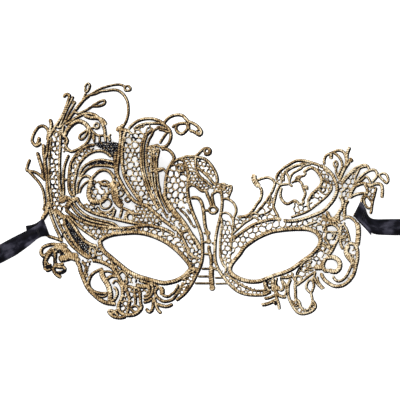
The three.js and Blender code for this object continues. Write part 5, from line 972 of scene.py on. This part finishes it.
def inside(point, outline):
    """Whether a line to the right of the point crosses the outline an odd number of times."""
    x, y = point
    ahead = np.roll(outline, -1, axis=0)
    spans = (outline[:, 1] > y) != (ahead[:, 1] > y)
    rise = np.where(ahead[:, 1] == outline[:, 1], 1, ahead[:, 1] - outline[:, 1])
    crossing = outline[:, 0] + (y - outline[:, 1]) * (ahead[:, 0] - outline[:, 0]) / rise
    return bool(np.count_nonzero(spans & (x < crossing)) % 2)


def clipped(start, end, outline):
    """The part of a thread inside the outline, run on a little so that it ends under a cord."""
    start_in, end_in = inside(start, outline), inside(end, outline)
    if start_in and end_in:
        return start, end
    if not start_in and not end_in:
        return None
    near, far = (start, end) if start_in else (end, start)
    low, high = 0.0, 1.0
    for _ in range(8):
        middle = (low + high) / 2
        if inside(near + (far - near) * middle, outline):
            low = middle
        else:
            high = middle
    way = (far - near) / max(float(np.linalg.norm(far - near)), 1e-6)
    return near, near + (far - near) * low + way * NET_OVERRUN


def net_threads(cell, outline, chance):
    """Threads of an uneven net that fills the outline, and the knots where three of them meet."""
    low, high = outline.min(axis=0) - 2 * cell, outline.max(axis=0) + 2 * cell
    row_pitch = 0.87
    scattered = []
    for row in range(int((high[1] - low[1]) / (cell * row_pitch)) + 1):
        for column in range(int((high[0] - low[0]) / cell) + 1):
            x = low[0] + (column + 0.5 * (row % 2) + chance.uniform(-0.33, 0.33)) * cell
            y = low[1] + (row * row_pitch + chance.uniform(-0.33, 0.33)) * cell
            scattered.append(Vector((x, y)))
    corners, _, triangles, *_ = geometry.delaunay_2d_cdt(scattered, [], [], 0, 1e-6)
    knots = [np.array(sum((corners[i] for i in corner), Vector((0, 0))) / 3) for corner in triangles]
    beside = {}
    for index, triangle in enumerate(triangles):
        for a, b in zip(triangle, [*triangle[1:], triangle[0]]):
            beside.setdefault(frozenset((a, b)), []).append(index)
    shared = [pair for pair in beside.values() if len(pair) == 2]
    threads = [clipped(knots[a], knots[b], outline) for a, b in shared]
    return [t for t in threads if t], [k for k in knots if inside(k, outline)]


class Nodes:
    """A new material, and the nodes that are added to it."""

    def __init__(self, name):
        self.material = bpy.data.materials.new(name)
        self.material.use_nodes = True
        self.tree = self.material.node_tree
        self.tree.nodes.clear()

    def add(self, kind, inputs=(), **settings):
        node = self.tree.nodes.new(kind)
        for key, value in settings.items():
            setattr(node, key, value)
        for key, value in dict(inputs).items():
            if isinstance(value, bpy.types.NodeSocket):
                self.tree.links.new(value, node.inputs[key])
            else:
                node.inputs[key].default_value = value
        return node

    def attribute(self, name):
        return self.add("ShaderNodeAttribute", attribute_name=name).outputs["Fac"]

    def place(self):
        return self.add("ShaderNodeTexCoord").outputs["Object"]

    def noise(self, vector, scale, detail=2):
        inputs = {"Vector": vector, "Scale": scale, "Detail": detail}
        return self.add("ShaderNodeTexNoise", inputs).outputs["Fac"]

    def wave(self, vector, scale, distortion, **more):
        inputs = {"Vector": vector, "Scale": scale, "Distortion": distortion, **more}
        return self.add("ShaderNodeTexWave", inputs).outputs["Fac"]

    def maths(self, operation, *values, clamp=False):
        inputs = dict(enumerate(values))
        return self.add("ShaderNodeMath", inputs, operation=operation, use_clamp=clamp).outputs[0]

    def scaled(self, value, factor, offset=0.0):
        return self.maths("MULTIPLY_ADD", value, factor, offset)

    def ramp(self, factor, stops):
        node = self.add("ShaderNodeValToRGB", {"Fac": factor})
        elements = node.color_ramp.elements
        while len(elements) < len(stops):
            elements.new(0.5)
        for element, (position, colour) in zip(elements, stops):
            element.position = position
            element.color = (*colour, 1)
        return node.outputs["Color"]

    def bump(self, height, strength, distance):
        inputs = {"Height": height, "Strength": strength, "Distance": distance}
        return self.add("ShaderNodeBump", inputs).outputs["Normal"]

    def finish(self, inputs):
        """The material, with its shader's inputs set."""
        shader = self.add("ShaderNodeBsdfPrincipled", inputs)
        self.add("ShaderNodeOutputMaterial", {"Surface": shader.outputs[0]})
        return self.material


def gilt_lace():
    """Black polyester thread, gilt where the attribute says that the foil reached it; that attribute is
    also painted light and shade, gold toward the key light and black away from it.
    """
    nodes = Nodes("gilt_lace")
    gilt, stitch, tone = (nodes.attribute(name) for name in ("gilt", "stitch", "tone"))
    place = nodes.place()
    blotch = nodes.noise(place, 620)
    grain = nodes.noise(place, 1600)
    drift = nodes.noise(place, 90, detail=3)
    # Painted highlight on the crest of each satin stitch, and painted shade in the groove between stitches,
    # where the gilt gives way to black.
    turn = nodes.maths("MULTIPLY", stitch, 2 * math.pi / STITCH_PITCH)
    rib = nodes.scaled(nodes.maths("COSINE", turn), 0.5, 0.5)
    reached = nodes.scaled(gilt, 1.15, nodes.scaled(blotch, 1.5, -1.75))
    foil = nodes.maths("MULTIPLY", nodes.scaled(rib, 0.5, reached), 3, clamp=True)
    bright = nodes.scaled(rib, 0.3, nodes.maths("MULTIPLY", tone, 0.17))
    bright = nodes.maths("ADD", bright, nodes.scaled(blotch, 1.5, -0.72))
    bright = nodes.maths("ADD", bright, nodes.scaled(grain, 0.6, -0.22))
    bright = nodes.maths("ADD", bright, nodes.scaled(drift, 1.1, -0.47))
    gold = nodes.ramp(bright, [
        (0.0, (0.07, 0.035, 0.015)),
        (0.25, (0.27, 0.165, 0.072)),
        (0.52, (0.58, 0.4, 0.195)),
        (0.82, (0.96, 0.82, 0.58)),
    ])
    thread = nodes.ramp(grain, [(0.3, (0.001, 0.001, 0.002)), (0.8, (0.007, 0.006, 0.01))])
    colour = nodes.add("ShaderNodeMix", {"Factor": foil, 6: thread, 7: gold}, data_type="RGBA")
    fibre = nodes.wave(place, 900, 4, Detail=2)
    relief = nodes.maths("ADD", nodes.maths("MULTIPLY", fibre, 0.5), grain)
    return nodes.finish({
        "Base Color": colour.outputs[2],
        "Metallic": nodes.maths("MULTIPLY", foil, 0.35),
        "Roughness": nodes.scaled(foil, -0.3, 0.8),
        "Specular IOR Level": 0.08,
        "Normal": nodes.bump(relief, 0.35, 0.0002),
    })


def black_satin():
    """Black satin ribbon with a fine weft rib and a corded edge, and painted sheen: lighter grey streaks
    along it.
    """
    nodes = Nodes("black_satin")
    across, along = nodes.attribute("across"), nodes.attribute("along")
    place = nodes.place()
    cloud = nodes.noise(place, 130, detail=3)
    grain = nodes.noise(place, 2200)
    turn = nodes.maths("MULTIPLY", along, 2 * math.pi / WEFT_PITCH)
    weft = nodes.scaled(nodes.maths("SINE", turn), 0.5, 0.5)
    from_middle = nodes.maths("ABSOLUTE", nodes.maths("SUBTRACT", across, 0.5))
    selvedge = nodes.maths("GREATER_THAN", nodes.maths("MULTIPLY", from_middle, 2), 0.9)
    # Painted sheen: soft streaks along the ribbon that turn its black to a pale grey.
    stretched = nodes.add("ShaderNodeCombineXYZ", {
        0: nodes.maths("MULTIPLY", along, 0.075),
        1: nodes.maths("MULTIPLY", across, 1.6),
    })
    painted_sheen = nodes.noise(stretched.outputs[0], 1)
    shade = nodes.maths("ADD", nodes.maths("MULTIPLY", painted_sheen, 0.85), nodes.maths("MULTIPLY", grain, 0.15))
    colour = nodes.ramp(shade, [
        (0.4, (0.001, 0.001, 0.002)),
        (0.5, (0.006, 0.006, 0.011)),
        (0.64, (0.07, 0.068, 0.095)),
    ])
    relief = nodes.maths("ADD", nodes.maths("MULTIPLY", weft, 0.6), nodes.maths("MULTIPLY", grain, 0.5))
    relief = nodes.maths("ADD", relief, nodes.maths("MULTIPLY", selvedge, 0.8))
    return nodes.finish({
        "Base Color": colour,
        "Roughness": nodes.scaled(cloud, 0.2, 0.27),
        "Specular IOR Level": 0.06,
        "Normal": nodes.bump(relief, 0.3, 0.00012),
    })


def sewing_thread():
    """Black two-ply thread."""
    nodes = Nodes("sewing_thread")
    ply = nodes.wave(nodes.place(), 1500, 2)
    colour = nodes.ramp(ply, [(0.2, (0.004, 0.004, 0.005)), (0.8, (0.03, 0.03, 0.034))])
    return nodes.finish({"Base Color": colour, "Roughness": 0.6, "Normal": nodes.bump(ply, 0.4, 0.0001)})


def pale_floor():
    """A matt white table, lit a little from within so that shadows on it stay faint."""
    nodes = Nodes("pale_floor")
    grain = nodes.noise(nodes.place(), 300)
    return nodes.finish({
        "Base Color": nodes.ramp(grain, [(0.2, (0.93, 0.93, 0.93)), (0.8, (0.97, 0.97, 0.97))]),
        "Roughness": 0.9,
        "Specular IOR Level": 0.1,
        "Emission Color": (1, 1, 1, 1),
        "Emission Strength": 0.6,
    })


def is_right(name):
    return name.startswith("right_")


def embroidered(name, strands):
    stitching = Stitching(name, is_right(name))
    for strand in strands:
        stitching.add_strand(strand)
    return stitching


def shaded(name, strands):
    stitching = Stitching(name)
    for strand in strands:
        stitching.add_shade(strand)
    return stitching


def knitted(name, cell, outline):
    """A close field of black threads with hardly any gilt."""
    stitching = Stitching(name, is_right(name))
    chance = random.Random(name)
    threads, _ = net_threads(cell, outline, chance)
    for start, end in threads:
        stitching.add_thread(start, end, KNIT_WIDTH, chance.random() < KNIT_GILT_SHARE)
    return stitching


def netted(name, cell, outline):
    """An open field of threads, a few of them missing, with beads on some of its knots."""
    stitching = Stitching(name, is_right(name))
    chance = random.Random(name)
    width = NET_WIDTH - 0.3 * is_right(name)
    threads, knots = net_threads(NET_OPENNESS * cell, outline, chance)
    for start, end in threads:
        if chance.random() > NET_GAP_SHARE:
            stitching.add_thread(start, end, width, chance.random() < NET_GILT_SHARE)
    for knot in knots:
        if chance.random() < KNOT_SHARE:
            # The gilt bead on a knot is set off above and to the left, toward the key light, as painted
            # light.
            stitching.add_bead(knot - 0.3 * SHADOW_SHIFT, chance.uniform(0.45, 0.75), 0.3, 1, True)
    return stitching


def finish_lace(name, stitching, material):
    piece = stitching.make(name, material)
    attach(piece, "right_half" if is_right(name) else "left_half")
    return piece


def make_lace(material):
    for name, strands in MOTIFS.items():
        piece = finish_lace(f"{name}_lace", embroidered(name, strands), material)
        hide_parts(name)
    for name, strands in DETAILS.items():
        finish_lace(name, embroidered(name, strands), material)
    for name, strands in SHADES.items():
        finish_lace(name, shaded(name, strands), material)
    for name, (cell, route) in NETS.items():
        fill = knitted if "knit" in name else netted
        finish_lace(name, fill(name, cell, pairs(route)), material)


def make_nose_links(material):
    piece = embroidered("nose_links", NOSE_LINKS).make("nose_links", material)
    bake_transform(piece)


def unit(vector):
    return vector / np.linalg.norm(vector)


def tie_row(top, bottom, height):
    """The points across a ribbon, from its top edge to its bottom edge."""
    share = np.linspace(0, 1, TIE_COLUMNS + 1)[:, None]
    flat = top + (bottom - top) * share
    return np.column_stack([flat, np.broadcast_to(height, len(flat))])


def tail_rows(tie):
    """The short end of the ribbon under the strap, from its cut edge to the bar."""
    tops, bottoms = evenly(tie["tail_top"], TAIL_STATIONS), evenly(tie["tail_bottom"], TAIL_STATIONS)
    return [tie_row(top, bottom, TIE_LIE) for top, bottom in list(zip(tops, bottoms))[:0:-1]]


def fold_rows(tie, outward):
    """Half a turn round the eyelet bar."""
    bar_top, bar_bottom = tie["strap_top"][0], tie["strap_bottom"][0]
    rows = []
    for step in range(FOLD_STEPS + 1):
        angle = math.pi * (1.5 - step / FOLD_STEPS)
        shift = outward * FOLD_RADIUS * math.cos(angle)
        rows.append(tie_row(bar_top + shift, bar_bottom + shift, BAR_HEIGHT + FOLD_RADIUS * math.sin(angle)))
    return rows


def strap_rows(tops, bottoms, along, flare):
    """The strap, which falls from the fold to the table, pleated where it is gathered in."""
    share = np.linspace(0, 1, TIE_COLUMNS + 1)
    full_width = float(np.linalg.norm(tops[-1] - bottoms[-1]))
    rows = []
    for top, bottom, distance in zip(tops[1:], bottoms[1:], along[1:]):
        height = np.interp(distance, *zip(*STRAP_FALL))
        gather = max(0.0, 1 - float(np.linalg.norm(top - bottom)) / full_width)
        free = min(distance / 8, 1) * min(max(along[-1] - distance, 0) / 8, 1)
        pleat = PLEAT_HEIGHT * gather * np.sin(2 * math.pi * PLEATS * share) ** 2
        wave = 0.35 + 0.65 * math.sin(distance / 7.5) ** 2
        arch = flare * free * wave * np.sin(math.pi * share) ** 2
        rows.append(tie_row(top, bottom, height + free * pleat + arch))
    return rows


def roll_rows(top, bottom, ahead):
    """The rest of the ribbon, wound inwards from the end of the strap."""
    turns = (ROLL_OUTER - ROLL_INNER) / ROLL_PITCH
    rows = []
    for turn in np.arange(1, int(turns * ROLL_STEPS)) * 2 * math.pi / ROLL_STEPS:
        radius = ROLL_OUTER - ROLL_PITCH * turn / (2 * math.pi)
        shift = ahead * radius * math.sin(turn)
        height = TIE_LIE + ROLL_OUTER - radius * math.cos(turn)
        rows.append(tie_row(top + shift, bottom + shift, height))
    return rows


def tie_grid(tie):
    """The middle surface of a folded ribbon: one row of points across it for each station along it."""
    tops, bottoms = evenly(tie["strap_top"], STRAP_STATIONS), evenly(tie["strap_bottom"], STRAP_STATIONS)
    middle = (tops + bottoms) / 2
    bar = tie["strap_bottom"][0] - tie["strap_top"][0]
    outward = middle[1] - middle[0]
    outward = unit(outward - bar * (outward @ bar) / (bar @ bar))
    ahead = unit(middle[-1] - middle[-2])
    return np.array([
        *tail_rows(tie),
        *fold_rows(tie, outward),
        *strap_rows(tops, bottoms, distance_along(middle), tie["flare"]),
        *roll_rows(tops[-1], bottoms[-1], ahead),
    ])


def rim_of(count, columns):
    """The stations round the edge of a grid, in order."""
    down = [(i, 0) for i in range(count)]
    across = [(count - 1, j) for j in range(1, columns)]
    back = [(i, columns - 1) for i in range(count - 2, -1, -1)]
    home = [(0, j) for j in range(columns - 2, 0, -1)]
    return [*down, *across, *back, *home]


def closed_sheet_faces(count, columns):
    """The faces of two layers of a grid, one turned over, and of the edge between them."""
    upper, lower = np.arange(2 * count * columns).reshape(2, count, columns)
    faces = []
    for layer, step in ((upper, 1), (lower, -1)):
        corners = [layer[:-1, :-1], layer[1:, :-1], layer[1:, 1:], layer[:-1, 1:]]
        faces += np.stack(corners, axis=-1).reshape(-1, 4)[:, ::step].tolist()
    rim = rim_of(count, columns)
    for here, after in zip(rim, [*rim[1:], rim[0]]):
        faces.append([int(upper[after]), int(upper[here]), int(lower[here]), int(lower[after])])
    return faces


def make_tie(side, tie, satin, thread):
    grid = tie_grid(tie)
    count, columns = grid.shape[:2]
    normal = np.cross(*(np.gradient(grid, axis=axis) for axis in (0, 1)))
    normal /= np.linalg.norm(normal, axis=2)[:, :, None]
    layers = [grid + normal * TIE_THICKNESS / 2, grid - normal * TIE_THICKNESS / 2]
    along = distance_along(grid[:, columns // 2])
    across = np.linspace(0, 1, columns)
    shape = (2, count, columns)
    attributes = {
        "along": np.broadcast_to(along[:, None], shape).reshape(-1),
        "across": np.broadcast_to(across[None, :], shape).reshape(-1),
    }
    points = np.array(layers).reshape(-1, 3)
    piece = new_piece(f"{side}_tie_ribbon", points, closed_sheet_faces(count, columns), attributes, satin)
    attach(piece, f"{side}_tie")
    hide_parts(f"{side}_ribbon", f"{side}_ribbon_roll")
    stitches = make_stitches(side, grid, along, thread)


def make_stitches(side, grid, along, thread):
    """Two rows of stitches across the ribbon that close its fold."""
    stitching = Stitching(side)
    fold = int(np.argmax(grid[:, 0, 2] > 3))
    for distance in STITCH_ROWS:
        row = grid[int(np.argmin(np.abs(along - along[fold] - distance)))]
        stations = np.arange(len(row))
        for start in STITCH_STARTS:
            reach = np.linspace(start, start + STITCH_LENGTH, 4) * (len(row) - 1)
            points = np.column_stack([np.interp(reach, stations, row[:, axis]) for axis in range(3)])
            line, ground = points[:, :2], points[:, 2]
            stitching.add_tube(line, False, 0.2, 0.05, STITCH_HEIGHT, False, sides=6, ground=ground)
    piece = stitching.make(f"{side}_tie_stitches", thread)
    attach(piece, f"{side}_tie")
    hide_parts(f"{side}_ribbon_tack")
    return piece


def make_floor():
    floor = bpy.data.objects.new("floor", bpy.data.meshes.new("floor"))
    floor.data.from_pydata([(-3, -3, 0), (3, -3, 0), (3, 3, 0), (-3, 3, 0)], [], [(0, 1, 2, 3)])
    floor.data.materials.append(pale_floor())
    floor.location.z = -0.0002
    bpy.context.scene.collection.objects.link(floor)


def make_lamp(name, place, size, energy):
    """A soft square lamp that faces the origin."""
    lamp = bpy.data.lights.new(name, "AREA")
    lamp.size = size
    lamp.energy = energy
    light = bpy.data.objects.new(name, lamp)
    light.location = place
    light.rotation_euler = (-Vector(place)).to_track_quat("-Z", "Y").to_euler()
    bpy.context.scene.collection.objects.link(light)


def make_studio():
    make_floor()
    world = bpy.data.worlds.new("studio")
    world.use_nodes = True
    background = world.node_tree.nodes["Background"]
    background.inputs["Color"].default_value = (1, 1, 1, 1)
    background.inputs["Strength"].default_value = 0.8
    bpy.context.scene.world = world
    make_lamp("key", (-0.55, 0.6, 0.85), 0.55, 7)
    make_lamp("fill", (0.7, -0.4, 0.9), 0.9, 2)


def make_camera():
    """Looks straight down on the mask, a little left of and below the middle of the pattern."""
    camera = bpy.data.objects.new("camera", bpy.data.cameras.new("camera"))
    camera.data.lens = 180
    camera.data.sensor_width = 36
    camera.data.clip_end = 20
    centre = to_frame([*VIEW_CENTRE, 0])
    distance = VIEW_WIDTH * camera.data.lens / camera.data.sensor_width
    camera.location = (centre[0], centre[1], FOCUS_HEIGHT + distance)
    bpy.context.scene.collection.objects.link(camera)
    bpy.context.scene.camera = camera


bpy.context.scene.view_settings.view_transform = "Standard"
make_camera()
lace_material = gilt_lace()
make_lace(lace_material)
make_nose_links(lace_material)
satin_material, thread_material = black_satin(), sewing_thread()
for tie_side, tie_shape in TIES.items():
    make_tie(tie_side, tie_shape, satin_material, thread_material)
make_studio()
